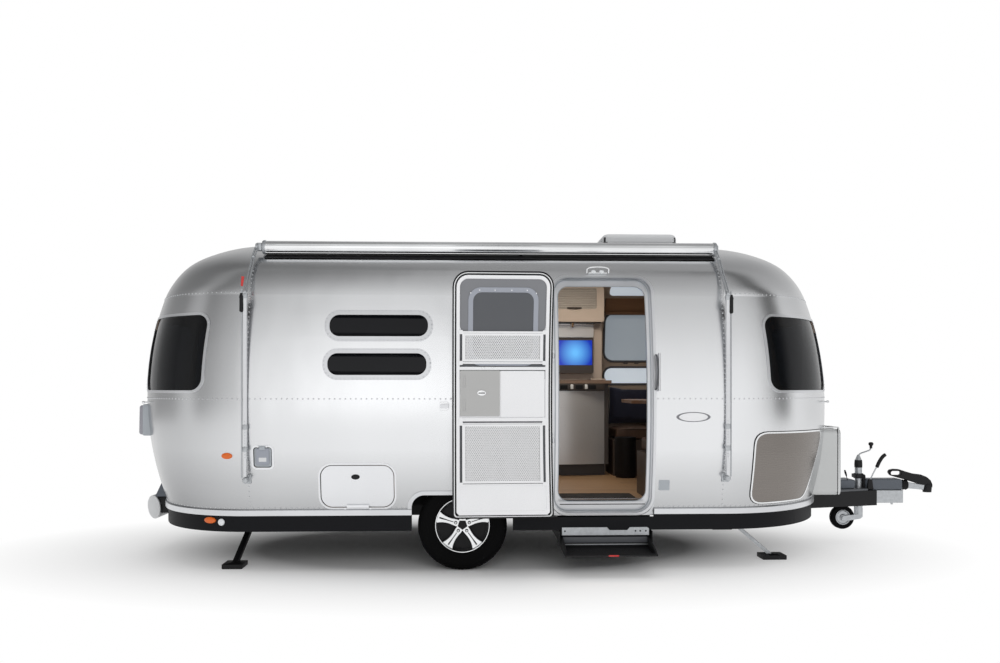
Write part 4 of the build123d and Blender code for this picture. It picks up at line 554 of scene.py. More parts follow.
def grow(name, made, plan, finish_name, slot, body="caravan", place=None, stands_for=None, **sizes):
    """Run a tree on a plan and keep what it makes as a plain mesh."""
    carrier = bpy.data.objects.new(name + "_plan", plan)
    scene.collection.objects.link(carrier)
    modifier = carrier.modifiers.new("tree", "NODES")
    modifier.node_group = made
    for item in made.interface.items_tree:
        if item.in_out == "INPUT" and item.name in sizes:
            modifier[item.identifier] = sizes[item.name]
        if item.in_out == "INPUT" and item.name == "Finish":
            modifier[item.identifier] = finishes[finish_name]
    depsgraph = bpy.context.evaluated_depsgraph_get()
    mesh = bpy.data.meshes.new_from_object(carrier.evaluated_get(depsgraph))
    bpy.data.objects.remove(carrier)
    if place:
        for vert in mesh.vertices:
            vert.co = place(vert.co)
    return keep(name, mesh, finish_name, body, stands_for=stands_for)


def plan_of(shapes):
    """Gathered shapes as a bare mesh, to feed to a tree."""
    mesh = bpy.data.meshes.new("plan")
    shapes.to_mesh(mesh)
    shapes.free()
    return mesh


print("tree helpers ready")

# %% [markdown]
# The rivet tree walks along drawn lines at an even spacing and sets a low dome at each step. Each
# line carries, point by point, the direction that faces out of the skin, so the domes sit square
# to it all the way round the ends.

# %% Rivet tree
RIVET_SEGMENTS, RIVET_RINGS = 8, 4
RIVET_POINTS = RIVET_SEGMENTS * (RIVET_RINGS - 1) + 2
rivets, entry = start_tree("rivets_on_lines", Spacing=0.04, Radius=0.0055, Height=0.5)
walk = add_node(rivets, "GeometryNodeMeshToCurve", {"Mesh": entry.outputs["Geometry"]})
steps = add_node(rivets, "GeometryNodeResampleCurve", {"Curve": walk.outputs[0],
                                                       "Length": entry.outputs["Spacing"]}, mode="LENGTH")
dome = add_node(rivets, "GeometryNodeMeshUVSphere", {"Segments": RIVET_SEGMENTS, "Rings": RIVET_RINGS,
                                                     "Radius": entry.outputs["Radius"]})
flatten = add_node(rivets, "ShaderNodeCombineXYZ", {"X": 1.0, "Y": 1.0, "Z": entry.outputs["Height"]})
low_dome = add_node(rivets, "GeometryNodeTransform", {"Geometry": dome.outputs["Mesh"],
                                                      "Scale": flatten.outputs[0]})
outward = add_node(rivets, "GeometryNodeInputNamedAttribute", {"Name": "outward"}, data_type="FLOAT_VECTOR")
square = add_node(rivets, "FunctionNodeAlignRotationToVector", {"Vector": outward.outputs["Attribute"]},
                  axis="Z")
setting = add_node(rivets, "GeometryNodeInstanceOnPoints",
                   {"Points": steps.outputs[0], "Instance": low_dome.outputs[0],
                    "Rotation": square.outputs[0]})
end_tree(rivets, entry, setting.outputs[0])
print("rivet tree nodes", len(rivets.nodes))

# %% [markdown]
# To find the skin under a rivet line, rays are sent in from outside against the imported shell. A
# second set of surfaces holds what covers the skin, such as door frame, windows and hatches, and
# a line breaks where one of them is hit first.

# %% Finding the skin
SHELL = ["right_wall", "left_wall", "roof", "rear_end", "front_end", "rear_dome", "front_dome"]
COVERS = ["door_frame", "main_door", "window_frames", "side_windows", "end_windows", "hatch_frames",
          "storage_hatch", "service_hatch", "stone_guards", "awning", "lamps", "roof_vent_base",
          "gas_locker", "rub_rail", "rear_bumper"]


def surface_tree(names):
    """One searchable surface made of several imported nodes."""
    verts, faces = [], []
    for name in names:
        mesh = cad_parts[name].data
        start = len(verts)
        verts += [v.co.copy() for v in mesh.vertices]
        faces += [[start + i for i in p.vertices] for p in mesh.polygons]
    return BVHTree.FromPolygons(verts, faces)


skin, covers = surface_tree(SHELL), surface_tree(COVERS)
frames_only = surface_tree(["window_frames"])


def touch(surface, origin, aim):
    """Where a ray meets a surface, and the outward direction there."""
    hit, normal, _, length = surface.ray_cast(origin, aim)
    if hit is None:
        return None
    return hit, (normal if normal.dot(aim) < 0 else -normal), length


def uncovered(surface, origin, aim):
    """What a ray meets on a surface; on the bare skin, None where something covers it."""
    found, cover = touch(surface or skin, origin, aim), touch(covers, origin, aim)
    if surface is None and found and cover and cover[2] < found[2] - 0.001:
        return None
    return found


def side_spot(side, x, z, surface=None):
    """The skin of a side at a place ahead of the axle and above the ground."""
    return uncovered(surface, at(x, side * 2.5, z), Vector((0, -side, 0)))


def end_spot(seam, direction, angle, z, surface=None):
    """The skin of an end, at an angle from the nose, seen from the seam's middle."""
    out = Vector((direction * math.cos(angle), math.sin(angle), 0))
    return uncovered(surface, at(seam, 0, z) + out * 3, -out)


def lines_to_plan(lines):
    """Lines of (place, outward) or None, as edges with an outward direction at each point."""
    places, outs, edges = [], [], []
    for line in lines:
        last = None
        for spot in line:
            if spot is None:
                last = None
                continue
            places.append(spot[0])
            outs.append(spot[1])
            if last is not None:
                edges.append((last, len(places) - 1))
            last = len(places) - 1
    mesh = bpy.data.meshes.new("lines")
    mesh.from_pydata(places, edges, [])
    spread = mesh.attributes.new("outward", "FLOAT_VECTOR", "POINT")
    spread.data.foreach_set("vector", [c for out in outs for c in out])
    return mesh


print("skin at the belt", side_spot(RIGHT, 1.9, 1.283)[0])

# %% Rivet lines on the body
REAR_SEAM, FRONT_SEAM = -1.584, 1.966
BELT, SHOULDER, LOW_LINE = 1.283, 2.072, 0.476


def spread_over(first, last, count):
    """Even steps between two numbers, both included."""
    return [first + (last - first) * i / (count - 1) for i in range(count)]


lines = []
for side in (RIGHT, LEFT):
    lines.append([side_spot(side, x, BELT) for x in spread_over(REAR_SEAM, FRONT_SEAM, 240)])
    lines.append([side_spot(side, x, LOW_LINE) for x in spread_over(REAR_SEAM, FRONT_SEAM, 240)])
    for x in (REAR_SEAM + 0.018, FRONT_SEAM - 0.018):
        lines.append([side_spot(side, x, z) for z in spread_over(0.49, 2.24, 90)])
for seam, direction in ((REAR_SEAM, -1), (FRONT_SEAM, 1)):
    for z in (BELT, SHOULDER, LOW_LINE):
        lines.append([end_spot(seam, direction, a, z) for a in spread_over(-1.56, 1.56, 200)])
    # the roof segments meet along lines that run up to the crown
    for angle in (-0.45, 0.0, 0.45):
        out = Vector((direction * math.cos(angle), math.sin(angle), 0))
        run = []
        for rise in spread_over(0.06, 1.25, 40):
            aim = -(out * math.cos(rise) + Vector((0, 0, math.sin(rise))))
            run.append(touch(skin, at(seam, 0, SHOULDER) - aim * 3, aim))
        lines.append(run)
body_rivets = grow("body_rivets", rivets, lines_to_plan(lines), "satin_aluminium", "skin_aluminium",
                   Spacing=0.038, Radius=0.0062, Height=0.62)
print("body rivets", len(body_rivets.data.vertices) // RIVET_POINTS)

# %% Rivet lines on the window frames
frame_lines = []
WINDOWS = [(side, x, z, 0.722, 0.16, 0.072) for side in (RIGHT, LEFT)
           for x, z in ((-0.614, 1.823), (-0.624, 1.538))]
FRONT_PANES = ((1.665, 1.865, 0.5, 0.465, 0.085), (1.665, 1.48, 0.5, 0.155, 0.072))
WINDOWS += [(LEFT, *pane) for pane in FRONT_PANES]
for side, x, z, width, height, radius in WINDOWS:
    border = 0.028
    loop = rounded(x, z, width + 2 * border, height + 2 * border, radius + border, 12)
    frame_lines.append([side_spot(side, *spot, surface=frames_only) for spot in loop + loop[:1]])


END_PANE_Z = 1.625


def end_window_loop(seam, direction, depth, first, last, grow_by):
    """The outline of an end window on the skin, between two angles round from the right side."""
    half = reach(END_PANE_Z)
    (ax, ay), (bx, by) = [(direction * depth * math.sin(a), -half * math.cos(a))
                          for a in map(math.radians, (first, last))]
    along = Vector((bx - ax, by - ay, 0))
    middle = at(seam, 0, END_PANE_Z) + Vector((ax + bx, ay + by, 0)) / 2
    out = Vector((along.y, -along.x, 0)).normalized()
    out = out if out.dot(middle - at(seam, 0, END_PANE_Z)) > 0 else -out
    outline = rounded(0, 0, along.length + 2 * grow_by, 0.56 + 2 * grow_by, 0.09 + grow_by, 12)
    run = along.normalized()
    return [touch(frames_only, middle + run * u + Vector((0, 0, v)) + out, -out)
            for u, v in outline + outline[:1]]


END_PANES = ((17.5, 63), (68, 112), (117, 162.5))
END_DEPTHS = ((REAR_SEAM, -1, 1.0255), (FRONT_SEAM, 1, 1.088))
for seam, direction, depth in END_DEPTHS:
    for first, last in END_PANES:
        frame_lines.append(end_window_loop(seam, direction, depth, first, last, 0.012))
frame_rivets = grow("frame_rivets", rivets, lines_to_plan(frame_lines), "satin_aluminium", "trim_aluminium",
                    Spacing=0.03, Radius=0.0054, Height=0.6)
print("frame rivets", len(frame_rivets.data.vertices) // RIVET_POINTS)

# %% [markdown]
# The skin is thin aluminium sheet, polished and then a little dulled by weather. Sheet is never
# flat: it shows long soft waves, so the reflections wander. A broad, very shallow bump gives the
# waves, and noise stretched along the sheet gives faint rolling marks. Its colour is then darkened
# towards the bottom, the top and both ends: painted shade and painted reflection for the darker
# surroundings that the curved sheet mirrors there.

# %% Aluminium skin


def shader_of(made):
    """The node tree and the shader of a material."""
    return made.node_tree, made.node_tree.nodes["Principled BSDF"]


def add_waves(made, scale, depth, stretch=(1, 1, 1)):
    """Put long shallow waves under the fine relief of a finish."""
    tree, shader = shader_of(made)
    fine = shader.inputs["Normal"].links[0].from_node
    swell = noise(tree, object_place(tree, stretch), scale, 1.5)
    waves = add_node(tree, "ShaderNodeBump", {"Strength": 1.0, "Distance": depth, "Height": swell})
    tree.links.new(waves.outputs[0], fine.inputs["Normal"])


def multiply_base(made, by):
    """Multiply a finish's colour by another colour."""
    tree, shader = shader_of(made)
    base = shader.inputs["Base Color"].links[0].from_socket
    tree.links.new(multiplied(tree, base, by), shader.inputs["Base Color"])


def paint_shade_along(made, axis, stops, low, high):
    """Paint shade into a finish: multiply its colour by greys set between two places on an axis."""
    tree = made.node_tree
    place = add_node(tree, "ShaderNodeTexCoord")
    axes = add_node(tree, "ShaderNodeSeparateXYZ", {0: place.outputs["Object"]})
    share = add_node(tree, "ShaderNodeMapRange", {"Value": axes.outputs[axis], "From Min": low,
                                                  "From Max": high})
    multiply_base(made, ramp(tree, stops, share.outputs[0]))


skin_look = finish("polished_skin", (0.86, 0.87, 0.885), 0.22, 1.0, broad=1.6, vary=0.035, fine=160,
                   grain=0.03, depth=0.0002, stretch=(1, 1, 0.08), swing=0.12)
add_waves(skin_look, 2.4, 0.006, (1.0, 1.0, 0.55))
# painted shade and painted reflection: the skin's colour is darkened towards the bottom and the top, then
# towards both ends
paint_shade_along(skin_look, "Z", [(0.0, 0.66), (0.1, 0.76), (0.22, 0.97), (0.38, 1.0), (0.58, 0.98), (0.78, 0.88),
                            (0.9, 0.8), (1.0, 0.74)], at(0, 0, 0.45).z, at(0, 0, 2.55).z)
paint_shade_along(skin_look, "X", [(0.0, 0.58), (0.09, 0.66), (0.155, 0.82), (0.21, 0.94), (0.33, 1.0), (0.8, 1.0),
                            (0.87, 0.9), (1.0, 0.8)], at(-2.6, 0, 0).x, at(3.1, 0, 0).x)
hatch_look = finish("hatch_skin", (0.84, 0.85, 0.87), 0.3, 1.0, broad=3, vary=0.03, fine=160, grain=0.03,
                    stretch=(1, 1, 0.08))
add_waves(hatch_look, 5.0, 0.002)
add_waves(finishes["guard_steel"], 2.0, 0.004, (1, 1, 0.4))
print("skin ready")

# %% [markdown]
# Glass is told apart by what stands behind it. The windows on the door side look into a dark cabin
# and read as black mirrors: their glass lets no light through and is given a near-black colour,
# which paints in the shade of the cabin behind. The ones on the far side are seen from within, lit
# from outside, so they let light through with a cool tint. The imported panes are copied into two
# pieces for that.

# %% Window panes
# dark_glass is opaque and near-black; on the door-side panes this colour is painted shade for the dark cabin
# behind them
finish("dark_glass", (0.004, 0.0043, 0.006), 0.06, broad=1.2, vary=0.5, fine=40, grain=0.01, depth=0.0001,
       swing=0.3, Specular_IOR_Level=0.2)
finish("tinted_glass", (0.44, 0.49, 0.54), 0.03, broad=1.0, vary=0.05, fine=40, grain=0.01, depth=0.0001,
       Transmission_Weight=0.92, IOR=1.01)
finish("end_glass", (0.042, 0.048, 0.058), 0.04, broad=1.0, vary=0.08, fine=40, grain=0.01, depth=0.0001,
       Transmission_Weight=0.95, IOR=1.25)


def copy_faces(names, wanted):
    """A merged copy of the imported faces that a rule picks."""
    copied = bmesh.new()
    for name in names:
        copied.from_mesh(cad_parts[name].data)
    bmesh.ops.remove_doubles(copied, verts=copied.verts, dist=2e-5)
    bmesh.ops.delete(copied, geom=[f for f in copied.faces if not wanted(f)], context="FACES")
    return copied


# door-side panes: opaque near-black glass, painted shade of the dark cabin behind
near_panes = settle("near_side_panes", copy_faces(["side_windows"], lambda f: f.calc_center_median().y < 0),
                    "dark_glass", stands_for="side_windows")
far_panes = settle("far_side_panes", copy_faces(["side_windows"], lambda f: f.calc_center_median().y > 0),
                   "tinted_glass", stands_for="side_windows")
print("panes", len(near_panes.data.polygons), len(far_panes.data.polygons))

# %% [markdown]
# Inside, the walls are lined with a warm grey-brown sheet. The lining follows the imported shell
# exactly: its inward faces are copied, moved a hair into the cabin and given a thickness.

# %% Cabin lining


def faces_inward(face):
    """True where a shell face looks at the middle of the cabin."""
    middle = face.calc_center_median()
    heart = Vector((max(min(middle.x, at(1.5, 0, 0).x), at(-1.1, 0, 0).x), 0, at(0, 0, 1.35).z))
    inward = (heart - middle).normalized()
    flat = abs(face.normal.x) > 0.98 and abs(middle.y) < 1.25 and abs(middle.x - heart.x) < 0.5
    return face.normal.dot(inward) > 0.45 and not flat


lining = copy_faces(SHELL, faces_inward)
for vert in lining.verts:
    vert.co += vert.normal * 0.0015
sheet_mesh = evaluated("lining_plan", plan_of(lining), ("SOLIDIFY", {"thickness": 0.0012, "offset": -1}))
cabin_lining = keep("cabin_lining", sheet_mesh, "cabin_lining", "caravan")
print("lining faces", len(cabin_lining.data.polygons))

# %% [markdown]
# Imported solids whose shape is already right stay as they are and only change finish. This table
# says which finish each one gets.

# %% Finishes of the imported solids
oak = finish("oak_plank", (0.46, 0.29, 0.165), 0.38, broad=4, vary=0.16, fine=60, grain=0.08,
             stretch=(1.2, 9, 1))


def add_boards(made, width, groove_dark):
    """Board joints and a change of tone from board to board."""
    tree = made.node_tree
    place = add_node(tree, "ShaderNodeTexCoord")
    boards = add_node(tree, "ShaderNodeTexBrick", {
        "Vector": place.outputs["Object"], "Scale": 1.0, "Brick Width": 1.15, "Row Height": width,
        "Mortar Size": 0.0016, "Mortar Smooth": 0.3, "Bias": 0.0, "Color1": (0.82, 0.82, 0.82, 1),
        "Color2": (1, 1, 1, 1), "Mortar": (groove_dark,) * 3 + (1,)}, offset=0.37)
    multiply_base(made, boards.outputs["Color"])


add_boards(oak, 0.14, 0.45)
looks = {
    **dict.fromkeys(SHELL, "polished_skin"),
    **dict.fromkeys(["storage_hatch", "hatch_frames"], "hatch_skin"),
    **dict.fromkeys(["window_frames", "door_frame", "door_fittings", "rub_rail"], "satin_aluminium"),
    **dict.fromkeys(["steady_front_right", "steady_front_left", "jockey_tube"], "zinc"),
    **dict.fromkeys(["chassis", "axle", "steady_rear_right", "steady_rear_left"], "black_paint"),
    **dict.fromkeys(["roof_vent", "roof_vent_base"], "vent_grey"),
    "main_door": "hatch_skin", "service_hatch": "grey_plastic", "end_windows": "end_glass",
    "door_window": "dark_glass", "skirt": "charcoal_skirt", "drawbar_cover": "dark_panel",
    "jockey_wheel": "tyre_rubber", "gas_locker": "locker_paint",
    "gas_locker_lid": "locker_paint", "kitchen_cabinets": "dark_laminate",
    "kitchen_front": "galley_steel", "worktop": "worktop", "bench_bases": "dark_bench",
    "table": "brown_wood",
}
for name, look in looks.items():
    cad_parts[name].material_slots[0].material = finishes[look]
print("packed solids finished", len(looks), "of", len(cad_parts))

# %% [markdown]
# The open door shows its inner side. From the edge inward there is a black rubber seal, a bright
# lip, a dark gap and then the white frame of the fly screen, which is hinged inside the door. All
# of it is drawn as flat rings and panels, cut into rows and bent to the side's curve.

# %% Door edge, seals and screen frame
DOOR_X = 1.045
ROWS = 0.12


def door_outline(x, z, width, height, radius):
    """A rectangle with round upper corners and nearly square feet."""
    return rounded(x, z, width, height, radius)[:14] + rounded(x, z, width, height, 0.022)[14:]


def ring_on_door(name, outer, inner, near, far, look, stands_for=None):
    """A ring between two door outlines (x, z, width, height, radius)."""
    piece = bmesh.new()
    plate(piece, door_outline(*outer), near, far, [door_outline(*inner)], 0.0015, on_door, ROWS)
    settle(name, piece, look, "door", stands_for=stands_for)


ring_on_door("door_seal_outer", (DOOR_X, 1.312, 0.726, 1.756, 0.108), (DOOR_X, 1.312, 0.706, 1.736, 0.098),
             0.0222, 0.03, "rubber_seal")
ring_on_door("door_lip", (DOOR_X, 1.312, 0.7045, 1.7345, 0.0975), (DOOR_X, 1.312, 0.69, 1.72, 0.09), 0.0222,
             0.034, "bright_trim")
ring_on_door("door_seal_inner", (DOOR_X, 1.312, 0.6885, 1.7185, 0.0895), (DOOR_X, 1.312, 0.669, 1.699, 0.08),
             0.0222, 0.028, "rubber_seal")
ring_on_door("screen_frame", (DOOR_X, 1.312, 0.668, 1.698, 0.08), (DOOR_X, 1.312, 0.62, 1.65, 0.058), 0.0225,
             0.0388, "white_enamel", stands_for="screen_door")
print("door rings done")

# %% [markdown]
# Inside the frame the door is divided into fields: a grey lining with the window, two perforated
# guards that stand off the fly screen, a sliding panel by the latch, and a plain kick panel.

# %% Door fields


def door_field(name, look, slot, *sheets):
    """A piece of sheets on the door: (outline, near depth, far depth, edge, outlines of holes)."""
    piece = bmesh.new()
    for outline, near, far, edge, *holes in sheets:
        plate(piece, rounded(*outline), near, far, [rounded(*hole) for hole in holes], edge, on_door, ROWS)
    settle(name, piece, look, "door")


PANE_X = DOOR_X - 0.002
door_field("door_upper_lining", "grey_enamel", "white_panel",
           ((DOOR_X, 1.949, 0.618, 0.384, 0.056), 0.0225, 0.0265, 0.0008, (PANE_X, 1.846, 0.43, 0.38, 0.055)))
door_field("door_dark_fields", "dark_panel", "dark_trim",
           *[((DOOR_X, z, 0.618, height, 0.004), near, far, 0.0005) for z, height, near, far in (
               (1.59, 0.33, 0.0222, 0.024), (0.891, 0.45, 0.0222, 0.024), (1.085, 0.075, 0.0226, 0.025),
               (0.67, 0.04, 0.0226, 0.025))])
door_field("door_guard_backing", "slide_grey", "white_panel",
           *[((DOOR_X, z, 0.572, height, 0.004), 0.0254, 0.027, 0.0005)
             for z, height in ((1.655, 0.196), (0.891, 0.424))])
door_field("door_window_trim", "trim_grey", "white_panel",
           ((PANE_X, 1.802, 0.504, 0.556, 0.09), 0.027, 0.032, 0.0016, (PANE_X, 1.812, 0.434, 0.466, 0.06)))
door_field("door_inner_pane", "dark_panel", "window_glass",
           ((PANE_X, 1.812, 0.44, 0.472, 0.062), 0.0262, 0.0275, 0.0004))
door_field("door_white_panels", "white_enamel", "white_panel",
           *[((x, 1.318, width, 0.338, 0.006), 0.024, 0.033, 0.0014)
             for x, width in ((1.2075, 0.291), (0.9, 0.322))],
           ((DOOR_X, 0.566, 0.64, 0.196, 0.012), 0.024, 0.0345, 0.0016),
           ((DOOR_X, 0.4635, 0.64, 0.01, 0.004), 0.024, 0.036, 0.001))
field = bmesh.new()
plate(field, rounded(1.2085, 1.3245, 0.286, 0.33, 0.006), 0.0335, 0.0395,
      [rounded(1.322, z, 0.02, 0.088, 0.009) for z in (1.41, 1.24)], 0.0014, on_door, ROWS)
plate(field, rounded(1.322, 1.3245, 0.018, 0.3, 0.004), 0.0332, 0.035, (), 0.0004, on_door)
settle("screen_slide_panel", field, "slide_grey", "door")
print("door fields done")

# %% Rails, latch and hinges of the screen door
rails = bmesh.new()
for low, high, depth in ((1.757, 1.771, 0.041), (1.537, 1.551, 0.041), (1.493, 1.516, 0.039),
                         (1.122, 1.148, 0.042), (0.664, 0.676, 0.041), (1.103, 1.112, 0.038)):
    block(rails, (DOOR_X - 0.312, 0.025, low), (DOOR_X + 0.312, depth, high), 0.0022, on_door)
for side in (-1, 1):
    for z in (1.764, 1.544, 1.135, 1.107, 0.672):
        plate(rails, rounded(DOOR_X + side * 0.302, z, 0.03, 0.03, 0.008, 5), 0.0395, 0.0425, (), 0.0008,
              on_door)
settle("screen_rails", rails, "white_enamel", "door")
metal = bmesh.new()
for x in (1.185, 1.11, 0.8):
    block(metal, (x - 0.014, 0.0385, 1.505), (x + 0.014, 0.0425, 1.513), 0.0012, on_door)
turned(metal, [(0, 0), (0.03, 0), (0.033, 0.002), (0.031, 0.006), (0, 0.008)], steps=32)
for vert in metal.verts:
    if abs(vert.co.x) < 0.04 and abs(vert.co.z) < 0.04 and abs(vert.co.y) < 0.02:
        vert.co = on_door(Vector((1.196 + vert.co.x, 0.0392 + vert.co.y, 1.327 + vert.co.z * 0.62)))
for sx, sz in ((-1, 1), (1, 1), (-1, 0), (1, 0)):
    x, z = DOOR_X - 0.002 + sx * 0.235, 1.9 + (sz - 0.5) * 0.28
    block(metal, (x - 0.004, 0.0318, z - 0.004), (x + 0.004, 0.0332, z + 0.004), 0.0012, on_door)
for x in (-0.17, -0.06, 0.06, 0.17):
    block(metal, (DOOR_X + x - 0.004, 0.0318, 2.056), (DOOR_X + x + 0.004, 0.0332, 2.064), 0.0012, on_door)
for z in (1.225, 1.285, 1.345):
    block(metal, (1.397, 0.006, z - 0.018), (1.409, 0.016, z + 0.018), 0.002, on_door)
settle("door_metal_fittings", metal, "bright_trim", "door")
slot_piece = bmesh.new()
block(slot_piece, (1.172, 0.0465, 1.3235), (1.22, 0.048, 1.3305), 0.0007, on_door)
block(slot_piece, (1.393, 0.0235, 1.26), (1.405, 0.033, 1.33), 0.002, on_door)
settle("door_latch_slot", slot_piece, "black_moulding", "door")
print("door fittings done")

# %% [markdown]
# The guards are sheets with staggered round holes. A grid of points, every second row shifted by
# half a hole, places one small square cell that has an eight-sided hole in it. The grid comes out
# flat, and the same rule as before bends it onto the door.

# %% Perforated sheet tree
sheet_tree, entry = start_tree("perforated_sheet", Columns=40, Rows=30, Pitch=0.014, RowPitch=0.012)
grid = add_node(sheet_tree, "GeometryNodeMeshGrid")
spans = []
for count, pitch, axis in (("Columns", "Pitch", "X"), ("Rows", "RowPitch", "Y")):
    gaps = arithmetic(sheet_tree, "SUBTRACT", entry.outputs[count], 1)
    spans.append(arithmetic(sheet_tree, "MULTIPLY", gaps, entry.outputs[pitch]))
    sheet_tree.links.new(spans[-1], grid.inputs["Size " + axis])
    sheet_tree.links.new(entry.outputs[count], grid.inputs["Vertices " + axis])
position = add_node(sheet_tree, "GeometryNodeInputPosition")
axes = add_node(sheet_tree, "ShaderNodeSeparateXYZ", {0: position.outputs[0]})
from_low = arithmetic(sheet_tree, "ADD", axes.outputs["Y"], arithmetic(sheet_tree, "MULTIPLY", spans[1], 0.5))
row = arithmetic(sheet_tree, "DIVIDE", from_low, entry.outputs["RowPitch"])
odd = arithmetic(sheet_tree, "MODULO", arithmetic(sheet_tree, "ROUND", row), 2)
shift = arithmetic(sheet_tree, "MULTIPLY", arithmetic(sheet_tree, "MULTIPLY", odd, 0.5),
                   entry.outputs["Pitch"])
offset = add_node(sheet_tree, "ShaderNodeCombineXYZ", {"X": shift})
moved = add_node(sheet_tree, "GeometryNodeSetPosition", {"Geometry": grid.outputs["Mesh"],
                                                         "Offset": offset.outputs[0]})
cells = add_node(sheet_tree, "GeometryNodeInstanceOnPoints",
                 {"Points": moved.outputs[0], "Instance": entry.outputs["Geometry"]})
end_tree(sheet_tree, entry, cells.outputs[0])


def perforated_cell(width, height, hole, thickness):
    """One cell of the sheet: a square with an eight-sided hole, open at its outer edges."""
    shape = bmesh.new()
    ring = [(math.cos(math.tau * (k + 0.5) / 8), math.sin(math.tau * (k + 0.5) / 8)) for k in range(8)]
    for z, turn_over in ((0, False), (thickness, True)):
        outer = [shape.verts.new((max(-1, min(1, c * 1.5)) * width / 2,
                                  max(-1, min(1, s * 1.5)) * height / 2, z)) for c, s in ring]
        inner = [shape.verts.new((c * hole, s * hole, z)) for c, s in ring]
        for k in range(8):
            corners = (outer[k], outer[(k + 1) % 8], inner[(k + 1) % 8], inner[k])
            shape.faces.new(corners if turn_over else corners[::-1])
        edge = inner if z == 0 else edge + inner
    for k in range(8):
        shape.faces.new((edge[k], edge[(k + 1) % 8], edge[8 + (k + 1) % 8], edge[8 + k]))
    return plan_of(shape)


guards = bmesh.new()
for label, low, high, columns, rows in (("upper", 1.5535, 1.756, 39, 15), ("lower", 0.68, 1.102, 39, 33)):
    middle, height, width = (low + high) / 2, high - low, 0.584
    step_x, step_z = (width - 0.04) / (columns + 0.5), (height - 0.028) / rows
    grow(f"door_guard_{label}", sheet_tree, perforated_cell(step_x, step_z, 0.0036, 0.0012), "white_enamel",
         "white_panel", "door", lambda v, m=middle: on_door(Vector((DOOR_X - 0.0035 + v.x, 0.0395 + v.z,
                                                                    m + v.y))), Columns=columns, Rows=rows,
         Pitch=step_x, RowPitch=step_z)
    plate(guards, rounded(DOOR_X, middle, width, height, 0.006, 4), 0.0385, 0.0415,
          [rounded(DOOR_X, middle, width - 0.046, height - 0.034, 0.004, 4)], 0.001, on_door, ROWS)
settle("door_guard_borders", guards, "white_enamel", "door")
print("perforated guards done")

# %% [markdown]
# The doorway has an aluminium surround with a ribbed threshold at the bottom. Its inner edge wears
# a grey rubber bead that the closed door presses on.

# %% Doorway trim
bead = bmesh.new()
plate(bead, rounded(DOOR_X, 1.312, 0.722, 1.752, 0.106), 0.0405, 0.0436,
      [rounded(DOOR_X, 1.312, 0.706, 1.736, 0.098)], 0.0012, on_side, ROWS)
plate(bead, rounded(DOOR_X, 1.3215, 0.667, 1.625, 0.086), 0.0405, 0.0436,
      [rounded(DOOR_X, 1.3215, 0.656, 1.614, 0.081)], 0.0012, on_side, ROWS)
settle("doorway_beads", bead, "grey_plastic")
line_tree, entry = start_tree("row_of_copies", Count=20, StepX=0.02, StepY=0.0, StepZ=0.0)
step_vector = add_node(line_tree, "ShaderNodeCombineXYZ",
                       {axis: entry.outputs["Step" + axis] for axis in "XYZ"})
row_points = add_node(line_tree, "GeometryNodeMeshLine",
                      {"Count": entry.outputs["Count"], "Offset": step_vector.outputs[0]})
copies = add_node(line_tree, "GeometryNodeInstanceOnPoints",
                  {"Points": row_points.outputs[0], "Instance": entry.outputs["Geometry"]})
end_tree(line_tree, entry, copies.outputs[0])
tooth = bmesh.new()
block(tooth, (0, 0, 0), (0.007, 0.038, 0.0035), 0.001, steps=1)
grow("threshold_ribs", line_tree, plan_of(tooth), "bright_trim", "trim_aluminium",
     place=lambda v: at(0.745, -1.035, FLOOR_TOP) + v, Count=50, StepX=0.012)
sill = bmesh.new()
block(sill, at(0.73, -1.045, 0.5155), at(1.36, -0.975, 0.521), 0.0015)
settle("threshold_plate", sill, "satin_aluminium")
feet, gap = bmesh.new(), bmesh.new()
FOOT_X, FOOT_Z, FOOT_ROUND = 0.389, 0.408, 0.125
for way in (-1, 1):
    arc = [(DOOR_X + way * (FOOT_X - FOOT_ROUND * (1 - math.cos(a)) + 0.0005),
            FOOT_Z + FOOT_ROUND * (1 - math.sin(a))) for a in spread_over(0.0, 1.5708, 7)]
    plate(feet, [(DOOR_X + way * FOOT_X, FOOT_Z)] + arc, -0.0035, 0.01, (), 0.0008, on_side)
plate(gap, rounded(DOOR_X, 0.4945, 0.64, 0.0055, 0.002, 3), -0.004, 0.006, (), 0.0005, on_side)
settle("doorway_feet", feet, "satin_aluminium")
settle("threshold_gap_line", gap, "rubber_seal")
print("doorway done")

# %% [markdown]
# The awning is rolled up along the top of the side. Its housing is an aluminium extrusion with
# fluted flats, so a turned tube would look wrong in close-up: the outline is drawn with its grooves
# and pulled along the length. Behind it a black rail carries it on the roof's edge.

# %% Awning roller and rail
ROLLER_FROM, ROLLER_TO, ROLLER_Y, ROLLER_Z, ROLLER_RADIUS = -1.509, 1.955, -0.866, 2.442, 0.0495


def along_side(spot):
    """A section drawn in (Y, Z) and pulled along X: (y, x, z) to a place."""
    return at(spot[1], spot[0], spot[2])


flutes = {15: 0.93, 60: 0.95, 118: 0.965, 200: 0.94, 248: 0.9, 300: 0.93}
outline = []
for step in range(120):
    angle = 3 * step
    deep = min([1.0] + [rest for place, rest in flutes.items() if abs(angle - place) < 4])
    outline.append((ROLLER_Y - ROLLER_RADIUS * deep * math.cos(math.radians(angle)),
                    ROLLER_Z + ROLLER_RADIUS * deep * math.sin(math.radians(angle))))
roller = bmesh.new()
plate(roller, outline, ROLLER_FROM, ROLLER_TO, edge=0, place=along_side)
settle("awning_roller", roller, "bright_trim", smooth=25, stands_for="awning")
rail = bmesh.new()
heights = spread_over(2.352, 2.4, 5)
probe = [touch(skin, at(0.2, -2.5, z), Vector((0, 1, 0)))[0] for z in heights]
back = [(hit.y, z) for hit, z in zip(probe, heights)]
front = [(y - 0.0125, z) for y, z in back]
plate(rail, back + front[::-1], ROLLER_FROM, ROLLER_TO, edge=0.002, place=along_side)
settle("awning_rail", rail, "black_moulding", stands_for="awning")
caps = bmesh.new()
